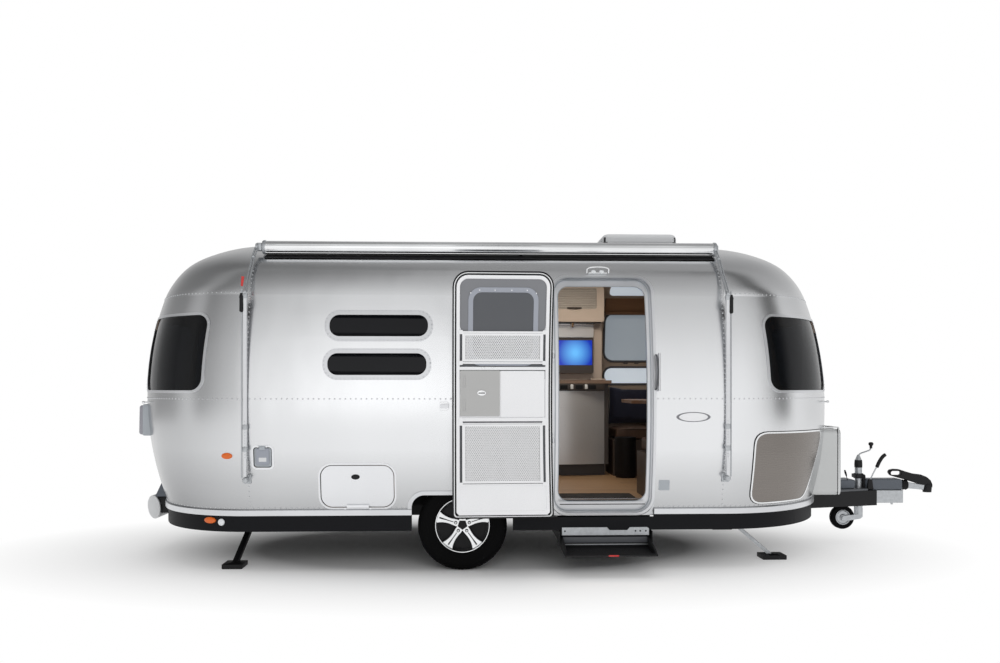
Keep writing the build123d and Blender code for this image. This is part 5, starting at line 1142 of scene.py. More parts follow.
for x, way in ((ROLLER_FROM, -1), (ROLLER_TO, 1)):
    turned(caps, [(0, 0), (0.0545, 0), (0.0548, 0.004), (0.0548, 0.014), (0.05, 0.022), (0.03, 0.0295),
                  (0, 0.0298)], at(x, ROLLER_Y, ROLLER_Z), (way, 0, 0), 40)
    for turn_by in (35, 125, 215, 305):
        a = math.radians(turn_by)
        turned(caps, [(0, 0), (0.0045, 0), (0.004, 0.0028), (0, 0.0028)],
               at(x + way * 0.0245, ROLLER_Y + 0.034 * math.cos(a), ROLLER_Z + 0.034 * math.sin(a)),
               (way, 0, 0), 12)
settle("awning_caps", caps, "zinc", stands_for="awning")
for x, look, label in ((-1.035, "zinc", "rear"), (0.452, "black_moulding", "front")):
    hook = bmesh.new()
    top = touch(skin, at(x, -2.5, 2.4), Vector((0, 1, 0)))[0] + Vector((0, -0.014, 0))
    block(hook, top + Vector((-0.012, -0.01, -0.002)), top + Vector((0.012, 0.004, 0.024)), 0.003)
    bar(hook, eased([top + Vector(move) for move in ((0.004, -0.008, 0.016), (0.002, -0.02, -0.01),
                                                     (-0.008, -0.026, -0.046))]), 0.0105, 8, 0.7)
    settle(f"awning_hook_{label}", hook, look)
print("awning done")

# %% [markdown]
# A folded arm stands at each end of the awning: a pale channel with a thin tension rod beside it,
# pinned to a foot low on the side and to the roller at the top. The black grip slides on the rod.

# %% Awning arms
ARM_FOOT, ARM_HEAD, ARM_Y = 0.69, 2.06, -1.246
channel, metal, grips, reds = bmesh.new(), bmesh.new(), bmesh.new(), bmesh.new()
for x, outward_way in ((-1.571, -1), (1.958, 1)):
    inner = -outward_way
    flange = [(-0.013, -0.01), (0.013, -0.01), (0.013, 0.012), (0.009, 0.012), (0.009, -0.006),
              (-0.009, -0.006), (-0.009, 0.012), (-0.013, 0.012)]
    for near, far, spread in ((0.9, ARM_HEAD, 1.0), (ARM_FOOT + 0.03, 1.05, 0.72)):
        shape = bmesh.new()
        plate(shape, [(u * spread, v * spread) for u, v in flange], near, far, edge=0.0008)
        pour(channel, shape, lambda v, x=x: at(x + v.x, ARM_Y + v.z, v.y))
    rod_x = x + outward_way * 0.024
    bar(metal, [at(rod_x, ARM_Y - 0.002, ARM_FOOT + 0.02), at(rod_x, ARM_Y - 0.002, ARM_HEAD + 0.02)],
        0.0055, 8)
    for k in range(14):
        z = 0.86 + 0.02 * k
        turned(metal, [(0, 0), (0.0036, 0), (0.0036, 0.0012), (0, 0.0012)], at(x, ARM_Y - 0.0112, z),
               (0, -1, 0), 8)
    head = at(x, ARM_Y, ARM_HEAD)
    knee = at(x, -1.005, 2.35)
    tip = at(x, ROLLER_Y - 0.03, ROLLER_Z)
    for shift, radius in ((-0.008, 0.0075), (0.01, 0.0055)):
        move = Vector((shift, 0, 0))
        bar(metal, [head + move, knee + move, tip + move], radius, 8)
    cap_end = ROLLER_FROM - 0.028 if outward_way < 0 else ROLLER_TO + 0.028
    block(metal, Vector((min(tip.x, at(cap_end, 0, 0).x) - 0.004, tip.y - 0.012, tip.z - 0.03)),
          Vector((max(tip.x, at(cap_end, 0, 0).x) + 0.004, tip.y + 0.04, tip.z + 0.03)), 0.008)
    for centre, size in ((head, 0.017), (knee, 0.014), (tip, 0.026)):
        turned(metal, [(0, 0), (size, 0), (size, 0.016), (size * 0.6, 0.02), (0, 0.02)],
               centre + Vector((-0.01 * outward_way, 0, 0)), (outward_way, 0, 0), 20)
    for z in (ARM_HEAD - 0.03, 1.08, 0.92):
        block(metal, at(x - 0.0165, ARM_Y - 0.0135, z - 0.018), at(x + 0.0165, ARM_Y + 0.013, z + 0.018),
              0.003)
    block(metal, at(x - 0.026, -1.185, ARM_FOOT - 0.028), at(x + 0.026, -1.174, ARM_FOOT + 0.038), 0.003)
    block(metal, at(x - 0.015, ARM_Y - 0.012, ARM_FOOT - 0.012), at(x + 0.015, -1.176, ARM_FOOT + 0.022),
          0.004)
    turned(metal, [(0, 0), (0.01, 0), (0.01, 0.04), (0, 0.04)], at(x - 0.02, ARM_Y, ARM_FOOT + 0.004),
           (1, 0, 0), 16)
    for dx, dz in ((-0.016, -0.018), (0.016, -0.018), (-0.016, 0.028), (0.016, 0.028)):
        turned(metal, [(0, 0), (0.005, 0), (0.004, 0.003), (0, 0.003)], at(x + dx, -1.185, ARM_FOOT + dz),
               (0, -1, 0), 10)
    bar(grips, [at(rod_x, ARM_Y - 0.003, z) for z in (1.912, 1.92, 2.01, 2.022, 2.05)],
        [0.008, 0.0165, 0.016, 0.018, 0.011], 12)
    if outward_way < 0:
        bar(reds, [at(rod_x + 0.002, ARM_Y - 0.006, 2.1), at(rod_x + 0.01, ARM_Y - 0.01, 2.17)],
            [0.008, 0.011], 10)
settle("awning_arm_channels", channel, "satin_aluminium", stands_for="awning_arms")
settle("awning_arm_fittings", metal, "zinc", stands_for="awning_arms")
settle("awning_arm_grips", grips, "black_moulding", stands_for="awning_arms")
settle("awning_arm_lever", reds, "red_lens", stands_for="awning_arms")
print("awning arms done")

# %% [markdown]
# The road wheel is a cast alloy rim with five pairs of blades. One pair is drawn, standing up from
# the hub, and a ring tree repeats it five times. The faces are machined bright while the pockets
# between are painted, so faces and backs are separate pieces.

# %% Ring tree
ring_tree, entry = start_tree("ring_of_copies", Count=5)
index = add_node(ring_tree, "GeometryNodeInputIndex")
share = arithmetic(ring_tree, "DIVIDE", index.outputs[0], entry.outputs["Count"])
spin = add_node(ring_tree, "ShaderNodeCombineXYZ", {"Y": arithmetic(ring_tree, "MULTIPLY", share, math.tau)})
start_points = add_node(ring_tree, "GeometryNodeMeshLine",
                        {"Count": entry.outputs["Count"], "Offset": (0, 0, 0)})
ring_copies = add_node(ring_tree, "GeometryNodeInstanceOnPoints", {
    "Points": start_points.outputs[0], "Instance": entry.outputs["Geometry"], "Rotation": spin.outputs[0]})
end_tree(ring_tree, entry, ring_copies.outputs[0])
print("ring tree nodes", len(ring_tree.nodes))

# %% Wheels and tyres
WHEEL_Y, WHEEL_Z = 1.0025, 0.334
SPOKES, TREAD_ROWS = 5, 82


def dish(spot):
    """Lean the blades in towards the hub, so that the face is slightly hollow."""
    out = math.hypot(spot[0], spot[2])
    return Vector((spot[0], spot[1] + 0.012 * max(0.0, 1 - out / 0.19), spot[2]))


def arm_outline(grow_by):
    """One pair of blades as a single outline, from the hub up to the rim."""
    right = [(0.026, 0.03), (0.025, 0.06), (0.0215, 0.09), (0.0215, 0.115), (0.026, 0.145), (0.034, 0.17),
             (0.044, 0.1895)]
    left = [(-x, z) for x, z in right[::-1]]
    arc = [(0.197 * math.sin(a), 0.197 * math.cos(a)) for a in spread_over(0.2, -0.2, 5)]
    loop = right + arc + left
    return [(x + math.copysign(grow_by, x) * (z < 0.185), z) for x, z in loop]


def slit(width):
    """The gap between two blades."""
    return [(width * 0.5, 0.072), (width * 0.62, 0.12), (width, 0.16), (width * 1.15, 0.182),
            (-width * 1.15, 0.182), (-width, 0.16), (-width * 0.62, 0.12), (-width * 0.5, 0.072)]


tyre_section = [(0.2005, -0.078), (0.205, -0.09), (0.222, -0.0975), (0.226, -0.0992), (0.229, -0.0985),
                (0.246, -0.1018), (0.266, -0.1025), (0.288, -0.1002), (0.292, -0.1008), (0.296, -0.099),
                (0.312, -0.0925), (0.322, -0.084), (0.3265, -0.074)]
half_section = tyre_section + [(0.3275, y) for y in (-0.06, -0.03)]
tyre_profile = half_section + [(r, -y) for r, y in half_section[::-1]] + [(0.199, 0.07), (0.199, -0.07)]
rim_profile = [(0.2065, -0.086), (0.2095, -0.085), (0.2095, -0.079), (0.2, -0.077), (0.1985, -0.04),
               (0.18, -0.02), (0.178, 0.045), (0.199, 0.07), (0.209, 0.079), (0.209, 0.0855),
               (0.2035, 0.0855), (0.193, 0.072), (0.172, 0.047), (0.172, -0.02), (0.19, -0.046),
               (0.1935, -0.074), (0.1985, -0.0845)]
hub_profile = [(0, -0.05), (0.04, -0.05), (0.062, -0.048), (0.066, -0.044), (0.066, 0.02), (0.075, 0.08),
               (0.075, 0.11), (0, 0.11)]
drum_profile = [(0, -0.025), (0.188, -0.025), (0.188, -0.018), (0, -0.018)]
cap_profile = [(0, -0.0625), (0.02, -0.062), (0.0285, -0.0595), (0.0315, -0.0545), (0.032, -0.048),
               (0, -0.048)]
# across the tread: distance, length and offset round the tyre
TREAD_BLOCKS = ((-0.0615, 0.0205, 0.0), (-0.0335, 0.025, 0.006), (0.0, 0.026, -0.004),
                (0.0335, 0.025, 0.006), (0.0615, 0.0205, 0.0))
for side, label in ((RIGHT, "right"), (LEFT, "left")):
    body = f"road_wheel_{label}"
    turn_round = Matrix.Rotation(0 if side == RIGHT else math.pi, 4, "Z")

    def wheel_place(spot, turn_round=turn_round, side=side):
        """From the wheel's own centre, outer face towards -Y, to its place on the axle."""
        return at(0, side * WHEEL_Y, WHEEL_Z) + turn_round @ Vector(spot)

    def spun(name, profiles, look, stands_for=None, steps=48):
        """Turned shapes round the wheel's own centre, kept as one piece."""
        piece = bmesh.new()
        for profile in profiles:
            turned(piece, profile, steps=steps)
        for vert in piece.verts:
            vert.co = wheel_place(vert.co)
        settle(f"{name}_{label}", piece, look, body, stands_for=stands_for)

    def ringed(name, piece, look, count=SPOKES, place=wheel_place, stands_for=None, slot="alloy"):
        """Copies of a shape round the wheel's own centre."""
        grow(f"{name}_{label}", ring_tree, plan_of(piece), look, slot, body, place, stands_for, Count=count)

    def dished(spot, place=wheel_place):
        """A place on the hollow face."""
        return place(dish(spot))

    rim_node, tyre_node = f"wheel_{label}", f"tyre_{label}"
    face = bmesh.new()
    plate(face, arm_outline(0), -0.064, -0.0585, [slit(0.0042)], 0.0014)
    ringed("wheel_blades", face, "machined_face", place=dished, stands_for=rim_node)
    back_shape = bmesh.new()
    plate(back_shape, arm_outline(0.0016), -0.0588, -0.028, [slit(0.003)], 0.002)
    ringed("wheel_webs", back_shape, "wheel_pocket", place=dished)
    spun("wheel_rim", [rim_profile], "machined_face", rim_node, steps=72)
    spun("wheel_hub", [hub_profile, drum_profile], "wheel_pocket", rim_node)
    spun("wheel_cap", [cap_profile], "black_moulding", steps=36)
    well, bolt = bmesh.new(), bmesh.new()
    turned(well, [(0, -0.002), (0.0125, -0.002), (0.0128, 0.0), (0, 0.0)], (0, -0.0556, 0.054), steps=16)
    ringed("wheel_bolt_wells", well, "black_moulding")
    turned(bolt, [(0, -0.009), (0.005, -0.0088), (0.0078, -0.007), (0.0084, -0.001), (0.0084, 0), (0, 0)],
           (0, -0.0572, 0.054), steps=12)
    ringed("wheel_bolts", bolt, "bright_trim")
    spun("tyre_body", [tyre_profile], "tyre_rubber", tyre_node, 96)
    tread = bmesh.new()
    for y, length, shift in TREAD_BLOCKS:
        block(tread, (shift - 0.0108, y - length / 2, 0.3255), (shift + 0.0108, y + length / 2, 0.3335),
              0.0008, steps=1)
    ringed("tyre_tread", tread, "tyre_rubber", TREAD_ROWS, slot="tyre")
print("wheels done")

# %% [markdown]
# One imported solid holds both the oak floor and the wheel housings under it. They are different
# materials on the real thing, so its faces are shared out between two pieces.

# %% Floor and wheel housings


def is_housing(face):
    """True for the wheel housings and everything under the boards."""
    middle = face.calc_center_median() - at(0, 0, 0)
    return (abs(middle.x) < 0.4256 and abs(middle.y) > 0.8615) or middle.z < 0.5195


boards = settle("floor_boards", copy_faces(["floor"], lambda f: not is_housing(f)), "oak_plank",
                stands_for="floor")
under = settle("floor_underside", copy_faces(["floor"], is_housing), "black_paint",
               stands_for="floor")
print("floor faces", len(boards.data.polygons), len(under.data.polygons))

# %% [markdown]
# Small fittings sit square to the skin wherever they are. One helper takes the place and the
# outward direction that the ray found, and sets a turned shape there, stretched to an oval where
# that is needed.

# %% Lamps, markers and plates on the skin


def badge(piece, spot, profile, wide=1.0, tall=1.0, steps=28):
    """Set a turned shape on a surface; its profile is (radius, height off the surface)."""
    place_on, out = spot[0], spot[1]
    side_way = Vector((0, 0, 1)).cross(out).normalized()
    up = out.cross(side_way)
    shape = bmesh.new()
    turned(shape, profile, (0, 0, 0), (0, 1, 0), steps)
    pour(piece, shape, lambda v: place_on + side_way * v.x * wide + up * v.z * tall + out * v.y)


skirt_skin = surface_tree(["skirt"])
LENS = [(0, -0.002), (1.0, -0.002), (1.0, 0.003), (0.93, 0.008), (0.7, 0.0115), (0, 0.013)]


def lens(size):
    """A low lens of a radius."""
    return [(r * size, along) for r, along in LENS]


orange, clear, plain, rims, faces = (bmesh.new() for _ in range(5))
for side in (RIGHT, LEFT):
    badge(orange, side_spot(side, -1.717, 0.867), lens(0.024), 1.75, 1.0)
    badge(plain, side_spot(side, -1.717, 0.867), [(0, -0.002), (0.027, -0.002), (0.027, 0.002), (0, 0.002)],
          1.65, 1.0)
    badge(orange, side_spot(side, -1.873, 0.381, skirt_skin), lens(0.022), 2.3, 1.1)
    badge(clear, side_spot(side, -1.782, 0.37, skirt_skin), lens(0.026))
    oval = side_spot(side, 1.71, 1.148)
    badge(rims, oval, [(0, -0.004), (0.037, -0.004), (0.037, 0.002), (0.034, 0.0035), (0.0315, 0.002),
                       (0, 0.002)], 3.45, 1.0, 40)
    badge(faces, oval, [(0, 0.0015), (0.0315, 0.0015), (0.0305, 0.0032), (0, 0.0035)], 3.45, 1.0, 40)
settle("side_markers", orange, "orange_lens")
settle("skirt_lamps", clear, "clear_lens")
settle("marker_seats", plain, "satin_aluminium")
settle("oval_plate_rims", rims, "grey_enamel")
settle("oval_plate_faces", faces, "white_enamel")
label = bmesh.new()
plate(label, rounded(1.503, 0.638, 0.082, 0.078, 0.006, 4), -0.0015, 0.002, (), 0.0006, on_side, 0.03)
settle("blank_label", label, "grey_plastic")
print("markers done")

# %% Rear lamps, door lamp and end hooks
pods, reds, ambers, seats = bmesh.new(), bmesh.new(), bmesh.new(), bmesh.new()
for side in (RIGHT, LEFT):
    low_y, high_y = sorted((side * 0.425, side * 0.555))
    shape = bmesh.new()
    block(shape, at(-2.59, low_y, 0.988), at(-2.44, high_y, 1.224), 0.02, steps=4)
    for vert in shape.verts:
        lean = (vert.co.z - at(0, 0, 1.1).z) * 0.02
        vert.co.x += lean * (vert.co.x < at(-2.55, 0, 0).x)
    pour(pods, shape)
    block(seats, at(-2.56, low_y - 0.006, 0.98), at(-2.44, high_y + 0.006, 1.232), 0.012, steps=3)
    for z, target in ((1.168, ambers), (1.106, reds), (1.04, reds)):
        turned(target, lens(0.024), at(-2.589, side * 0.49, z), (-1, 0, 0), 24)
settle("rear_lamp_bodies", pods, "lens_grey", stands_for="lamps")
settle("rear_lamp_seats", seats, "grey_plastic", stands_for="lamps")
settle("rear_lamp_reds", reds, "red_lens", stands_for="lamps")
settle("rear_lamp_ambers", ambers, "orange_lens", stands_for="lamps")
hoop, bulbs = bmesh.new(), bmesh.new()
block(hoop, at(0.95, -1.062, 2.2285), at(1.092, -1.01, 2.236), 0.003)
bar(hoop, eased([at(0.938, -1.055, 2.232), at(0.938, -1.072, 2.276), at(1.104, -1.072, 2.276),
                 at(1.104, -1.055, 2.232)], 3), 0.0065, 10)
for x in (0.99, 1.052):
    turned(bulbs, [(0, 0), (0.016, 0), (0.02, 0.01), (0.014, 0.018), (0, 0.02)], at(x, -1.046, 2.234),
           (0, -0.4, 1), 24)
settle("door_lamp_hoop", hoop, "bright_trim", stands_for="lamps")
settle("door_lamp_glasses", bulbs, "clear_lens", stands_for="lamps")
hooks = bmesh.new()
for seam, way in ((REAR_SEAM, -1), (FRONT_SEAM, 1)):
    for angle in (-0.62, 0.62):
        hit, out = end_spot(seam, way, angle, 1.25, skin)[:2]
        badge(hooks, (hit, out), [(0, 0), (0.014, 0), (0.014, 0.003), (0, 0.003)])
        bar(hooks, [hit, hit + out * 0.03, hit + out * 0.036, hit + out * 0.052],
            [0.0055, 0.0055, 0.0105, 0.0085], 10)
settle("end_hooks", hooks, "bright_trim")
print("rear lamps done")

# %% [markdown]
# Stone guards protect the front corners. Each is one brushed sheet with a bright edging, drawn flat
# as angle against height and then laid on the rounded nose by the same rays as the rivets.

# %% Stone guards


def on_nose(side):
    """A rule that lays (angle, depth under the skin, height) on one side of the nose."""
    def place(spot):
        found = end_spot(FRONT_SEAM, 1, side * spot[0], max(spot[2], 0.48), skin)
        lowered = Vector((0, 0, min(0.0, spot[2] - 0.48)))
        return found[0] - found[1] * spot[1] + lowered
    return place


def corner_loop(corners, radius, steps=6):
    """Round the corners of a four-sided outline."""
    loop = []
    for i, corner in enumerate(corners):
        before, after = Vector(corners[i - 1]), Vector(corners[(i + 1) % 4])
        here = Vector(corner)
        start = here + (before - here).normalized() * radius
        end = here + (after - here).normalized() * radius
        for k in range(steps):
            t = k / (steps - 1)
            loop.append(tuple(start.lerp(here, t).lerp(here.lerp(end, t), t)))
    return loop


GUARD = [(0.64, 1.03), (1.392, 1.034), (1.402, 0.486), (0.835, 0.486)]
inset = [(0.655, 1.017), (1.381, 1.021), (1.391, 0.499), (0.848, 0.499)]
steel, edging, line = bmesh.new(), bmesh.new(), bmesh.new()
for side in (RIGHT, LEFT):
    rule = on_nose(side)
    plate(steel, corner_loop(inset, 0.085), -0.0045, 0.001, (), 0.0006, rule, 0.08, 0.06)
    plate(edging, corner_loop(GUARD, 0.095), -0.0075, 0.001, [corner_loop(inset, 0.085)], 0.0012, rule, 0.08,
          0.06)
    rim = [(0.634, 1.035), (1.397, 1.039), (1.407, 0.482), (0.829, 0.482)]
    plate(line, corner_loop(rim, 0.098), -0.0022, 0.001, [corner_loop(GUARD, 0.095)], 0.0004, rule, 0.08,
          0.06)
guard_sheet = settle("stone_guard_sheets", steel, "guard_steel", stands_for="stone_guards")
settle("stone_guard_edging", edging, "bright_trim", stands_for="stone_guards")
settle("stone_guard_gaskets", line, "rubber_seal", stands_for="stone_guards")
print("stone guards done", len(guard_sheet.data.polygons))

# %% Trims of the gas locker and hatches
trims, gaps = bmesh.new(), bmesh.new()
for side in (RIGHT, LEFT):
    near, far = sorted((side * 0.5405, side * 0.5465))
    bar(trims, [at(3.09, side * 0.542, 0.484), at(3.09, side * 0.542, 1.034)], 0.005, 8)
    block(gaps, at(3.079, near, 0.485), at(3.082, far, 1.034), 0.0005)
bar(trims, [at(2.96, side * 0.542, 1.036), at(3.09, side * 0.542, 1.036), at(3.09, -side * 0.542, 1.036),
            at(2.96, -side * 0.542, 1.036)], 0.0045, 8)
settle("locker_trims", trims, "bright_trim")
settle("locker_gap_lines", gaps, "rubber_seal")
latch = bmesh.new()
badge(latch, side_spot(RIGHT, -0.785, 0.709, surface_tree(["storage_hatch"])),
      [(0, -0.002), (0.024, -0.002), (0.024, 0.004), (0.019, 0.0075), (0, 0.0075)], 1.3, 0.8, 24)
settle("storage_hatch_latch", latch, "black_moulding", "storage_hatch_lid")
inset_piece, note = bmesh.new(), bmesh.new()
plate(inset_piece, rounded(-1.456, 0.862, 0.094, 0.122, 0.014, 5), -0.0085, -0.004, (), 0.0015, on_side, 0.05)
settle("service_hatch_panel", inset_piece, "trim_grey", "service_hatch_lid")
plate(note, rounded(-1.456, 0.84, 0.056, 0.03, 0.003, 4), -0.0092, -0.0078, (), 0.0003, on_side)
settle("service_hatch_label", note, "pale_plastic", "service_hatch_lid")
print("hatch details done")

# %% [markdown]
# The rear bumper is a moulded bar with round ends on two dark brackets, under a slate-grey wedge.
# The number plate is blank and lies on the skin.

# %% Rear bumper and number plate
beam = bmesh.new()
section = [(-2.541 + 0.05 * math.cos(a) - 0.01 * math.sin(a), 0.382 + 0.096 * math.sin(a))
           for a in (math.tau * k / 28 for k in range(28))]
shape = bmesh.new()
plate(shape, section, -0.355, 0.355, (), 0)
for vert in shape.verts:
    vert.co = at(*vert.co)
for way in (-1, 1):
    face = [f for f in shape.faces if f.calc_center_median().y * way > 0.3549]
    bmesh.ops.bevel(shape, geom=[e for e in {e for f in face for e in f.edges} if len(e.link_faces) == 2
                                 and e.calc_face_angle(0) > 0.5], offset=0.018, segments=3, profile=0.5,
                    affect="EDGES", clamp_overlap=True)
pour(beam, shape)
settle("rear_bumper_bar", beam, "pale_plastic", stands_for="rear_bumper")
dark, wedge = bmesh.new(), bmesh.new()
for side in (RIGHT, LEFT):
    near, far = sorted((side * 0.2, side * 0.335))
    block(dark, at(-2.53, near, 0.33), at(-2.28, far, 0.462), 0.006)
plate(wedge, [(-2.535, 0.466), (-2.3, 0.466), (-2.3, 0.64), (-2.462, 0.622)], -0.35, 0.35, (), 0.004, laid)
settle("rear_bumper_brackets", dark, "black_paint", stands_for="rear_bumper")
settle("rear_bumper_wedge", wedge, "hitch_grey", stands_for="rear_bumper")


def on_tail(spot):
    """(distance across, depth under the skin, height) on the middle of the rear end."""
    hit, out = touch(skin, at(-4.0, spot[0], spot[2]), Vector((1, 0, 0)))[:2]
    return hit - out * spot[1]


board = bmesh.new()
plate(board, rounded(0, 0.698, 0.518, 0.114, 0.012, 4), -0.0075, 0.001, (), 0.0008, on_tail, 0.06, 0.05)
plate(board, rounded(0, 0.698, 0.53, 0.126, 0.016, 4), -0.0105, 0.001,
      [rounded(0, 0.698, 0.508, 0.104, 0.01, 4)], 0.001, on_tail, 0.06, 0.05)
settle("number_plate_blank", board, "pale_plastic", stands_for="number_plate")
print("bumper done")

# %% [markdown]
# The step slides out from under the door. Its carrier is a pressed zinc plate on the body, and the
# tread is a black tray with ribs that run along it. The row tree lays the ribs.

# %% Entry step
carrier = bmesh.new()
plate(carrier, [(0.742, 0.262), (1.396, 0.262), (1.396, 0.312), (1.382, 0.322), (1.252, 0.322), (1.232, 0.3),
                (1.1, 0.3), (1.08, 0.322), (0.742, 0.322)], -1.134, -1.126,
      [rounded(x, 0.293, 0.012, 0.012, 0.0055, 4) for x in (0.765, 1.295, 1.33, 1.372)], 0.0012, laid)
settle("step_carrier", carrier, "zinc")
tray, lip, mark = bmesh.new(), bmesh.new(), bmesh.new()
for x in (0.738, 1.388):
    plate(tray, [(-1.405, 0.16), (-0.842, 0.16), (-0.842, 0.244), (-1.15, 0.244), (-1.385, 0.186)], x,
          x + 0.014, (), 0.0015, lambda v: at(v[1], v[0], v[2]))
block(tray, at(0.736, -1.4185, 0.1565), at(1.404, -1.12, 0.168), 0.002)
block(tray, at(0.75, -1.13, 0.166), at(1.39, -1.118, 0.205), 0.002)
settle("step_tray", tray, "black_moulding", "step", stands_for="entry_step")
plate_dark = bmesh.new()
block(plate_dark, at(0.752, -1.112, 0.188), at(1.388, -0.85, 0.246), 0.003)
settle("step_drawer", plate_dark, "dark_panel", "step", stands_for="entry_step")
block(lip, at(0.752, -1.14, 0.1905), at(1.388, -1.128, 0.198), 0.001)
settle("step_lip", lip, "zinc", "step", stands_for="entry_step")
block(mark, at(1.048, -1.4195, 0.1575), at(1.122, -1.4165, 0.1685), 0.001)
settle("step_reflector", mark, "red_lens", "step", stands_for="entry_step")
rib = bmesh.new()
block(rib, (0, 0, 0), (0.628, 0.0055, 0.0038), 0.001, steps=1)
grow("step_tread_ribs", line_tree, plan_of(rib), "black_moulding", "dark_steel", "step",
     lambda v: at(0.756, -1.412, 0.1672) + v, Count=22, StepX=0.0, StepY=0.0125, stands_for="entry_step")
print("step done")

# %% [markdown]
# The drawbar ends in the overrun hitch: a painted housing on a zinc channel, a ribbed bellows, and
# the coupling with its long handle. Handle and lever grips are drawn in side view and given a width.

# %% Hitch, coupling and handbrake
hood, pressing, black = bmesh.new(), bmesh.new(), bmesh.new()


def slab(piece, outline, half_width, edge=0.003, holes=(), y=0.0):
    """A side view with a width."""
    plate(piece, outline, y - half_width, y + half_width, holes, edge, laid)


slab(hood, [(3.545, 0.458), (3.868, 0.458), (3.868, 0.548), (3.845, 0.557), (3.56, 0.557), (3.545, 0.545)],
     0.062, 0.008)
slab(hood, [(3.015, 0.468), (3.43, 0.478), (3.43, 0.548), (3.42, 0.556), (3.25, 0.552), (3.015, 0.48)],
     0.095, 0.006)
slab(pressing, [(3.47, 0.348), (3.868, 0.348), (3.868, 0.46), (3.56, 0.46), (3.545, 0.38)], 0.074, 0.004)
for x in (3.64, 3.8):
    turned(pressing, [(0, 0), (0.012, 0), (0.012, 0.15), (0, 0.15)], at(x, -0.075, 0.385), (0, 1, 0), 12)
    slab(pressing, [(x - 0.006, 0.325), (x + 0.006, 0.325), (x + 0.012, 0.352), (x - 0.012, 0.352)], 0.008,
         0.001)
settle("hitch_hood", hood, "hitch_grey", stands_for="overrun_hitch")
settle("hitch_channel", pressing, "zinc", stands_for="overrun_hitch")
bellows = bmesh.new()
waves = [(0.04 + (0.006 if k % 2 else 0.0), 0.012 * k) for k in range(7)]
turned(bellows, [(0, 0), *waves, (0, 0.072)], at(3.862, 0, 0.5), (1, 0, 0), 32)
settle("hitch_bellows", bellows, "rubber_seal", stands_for="overrun_hitch")
grip = [(3.766, 0.61), (3.776, 0.632), (3.812, 0.64), (3.858, 0.638), (3.922, 0.617), (3.985, 0.599),
        (4.057, 0.59), (4.11, 0.569), (4.146, 0.538), (4.162, 0.5), (4.16, 0.472), (4.06, 0.472),
        (4.045, 0.505), (3.985, 0.524), (3.912, 0.546), (3.85, 0.563), (3.786, 0.582)]
slab(black, grip, 0.022, 0.006, [rounded(3.832, 0.604, 0.092, 0.036, 0.017, 6)])
turned(black, [(0.026, -0.018), (0.036, -0.018), (0.04, 0.03), (0.03, 0.052), (0, 0.06), (0, 0.05),
               (0.026, 0.028)], at(4.12, 0, 0.452), (0, 0, 1), 32)
settle("coupling_handle", black, "black_moulding", stands_for="coupling_head")
fork = bmesh.new()
slab(fork, [(3.925, 0.47), (4.075, 0.456), (4.085, 0.5), (3.99, 0.515), (3.925, 0.53)], 0.03, 0.004)
settle("coupling_neck", fork, "zinc", stands_for="coupling_head")
stem, grip_bar = bmesh.new(), bmesh.new()
bar(stem, eased([at(3.566, -0.066, 0.476), at(3.578, -0.066, 0.56), at(3.62, -0.066, 0.64),
                 at(3.648, -0.066, 0.69)]), 0.0085, 10, 0.6)
bar(grip_bar, eased([at(3.634, -0.066, 0.66), at(3.66, -0.066, 0.716), at(3.692, -0.066, 0.762),
                     at(3.747, -0.066, 0.79)], 2), [0.01] + [0.0155] * 10 + [0.0145], 12)
slab(grip_bar, [(3.545, 0.468), (3.6, 0.468), (3.588, 0.556), (3.556, 0.556)], 0.012, 0.003, (), -0.07)
settle("handbrake_stem", stem, "zinc", stands_for="handbrake_lever")
settle("handbrake_grip", grip_bar, "black_moulding", stands_for="handbrake_lever")
lever = bmesh.new()
bar(lever, [at(3.366, -0.09, 0.545), at(3.352, -0.09, 0.59)], 0.0035, 8)
bar(lever, [at(3.354, -0.09, 0.588), at(3.345, -0.09, 0.616), at(3.338, -0.09, 0.64)], [0.006, 0.009, 0.006],
    10)
settle("drawbar_latch_lever", lever, "black_moulding")
print("hitch done")

# %% Jockey wheel clamp, fork and rim
JOCKEY_X, ROLLER_AXLE_X, ROLLER_AXLE_Z = 3.5, 3.35, 0.217
post, dark, knob = bmesh.new(), bmesh.new(), bmesh.new()
turned(post, [(0, 0), (0.03, 0), (0.03, 0.34), (0.0255, 0.345), (0.0255, 0.31), (0, 0.31)],
       at(JOCKEY_X, 0, 0.35), (0, 0, 1), 28)
turned(post, [(0, 0), (0.03, 0), (0.018, 0.03), (0.01, 0.05), (0, 0.05)], at(JOCKEY_X, 0, 0.716), (0, 0, 1),
       24)
bar(post, eased([at(JOCKEY_X, 0, 0.75), at(3.506, -0.006, 0.776), at(3.548, -0.034, 0.796),
                 at(3.586, -0.05, 0.812), at(3.59, -0.05, 0.846)]), 0.006, 10)
turned(dark, [(0, 0), (0.033, 0), (0.034, 0.03), (0.031, 0.066), (0, 0.066)], at(JOCKEY_X, 0, 0.655),
       (0, 0, 1), 28)
turned(dark, [(0.026, 0), (0.041, 0), (0.043, 0.022), (0.04, 0.042), (0.026, 0.042)], at(JOCKEY_X, 0, 0.56),
       (0, 0, 1), 28)
block(dark, at(3.455, -0.074, 0.566), at(3.482, 0.04, 0.598), 0.004)
slab(dark, [(3.52, 0.47), (3.56, 0.47), (3.552, 0.59), (3.53, 0.6)], 0.03, 0.004)
turned(knob, [(0, 0), (0.011, 0), (0.012, 0.022), (0.02, 0.032), (0.021, 0.046), (0.014, 0.054), (0, 0.056)],
       at(3.59, -0.05, 0.826), (0, 0, 1), 24)
settle("jockey_post", post, "zinc", stands_for="jockey_clamp")
settle("jockey_clamp_ring", dark, "black_moulding", stands_for="jockey_clamp")
settle("jockey_crank_knob", knob, "black_moulding", stands_for="jockey_clamp")
fork = bmesh.new()
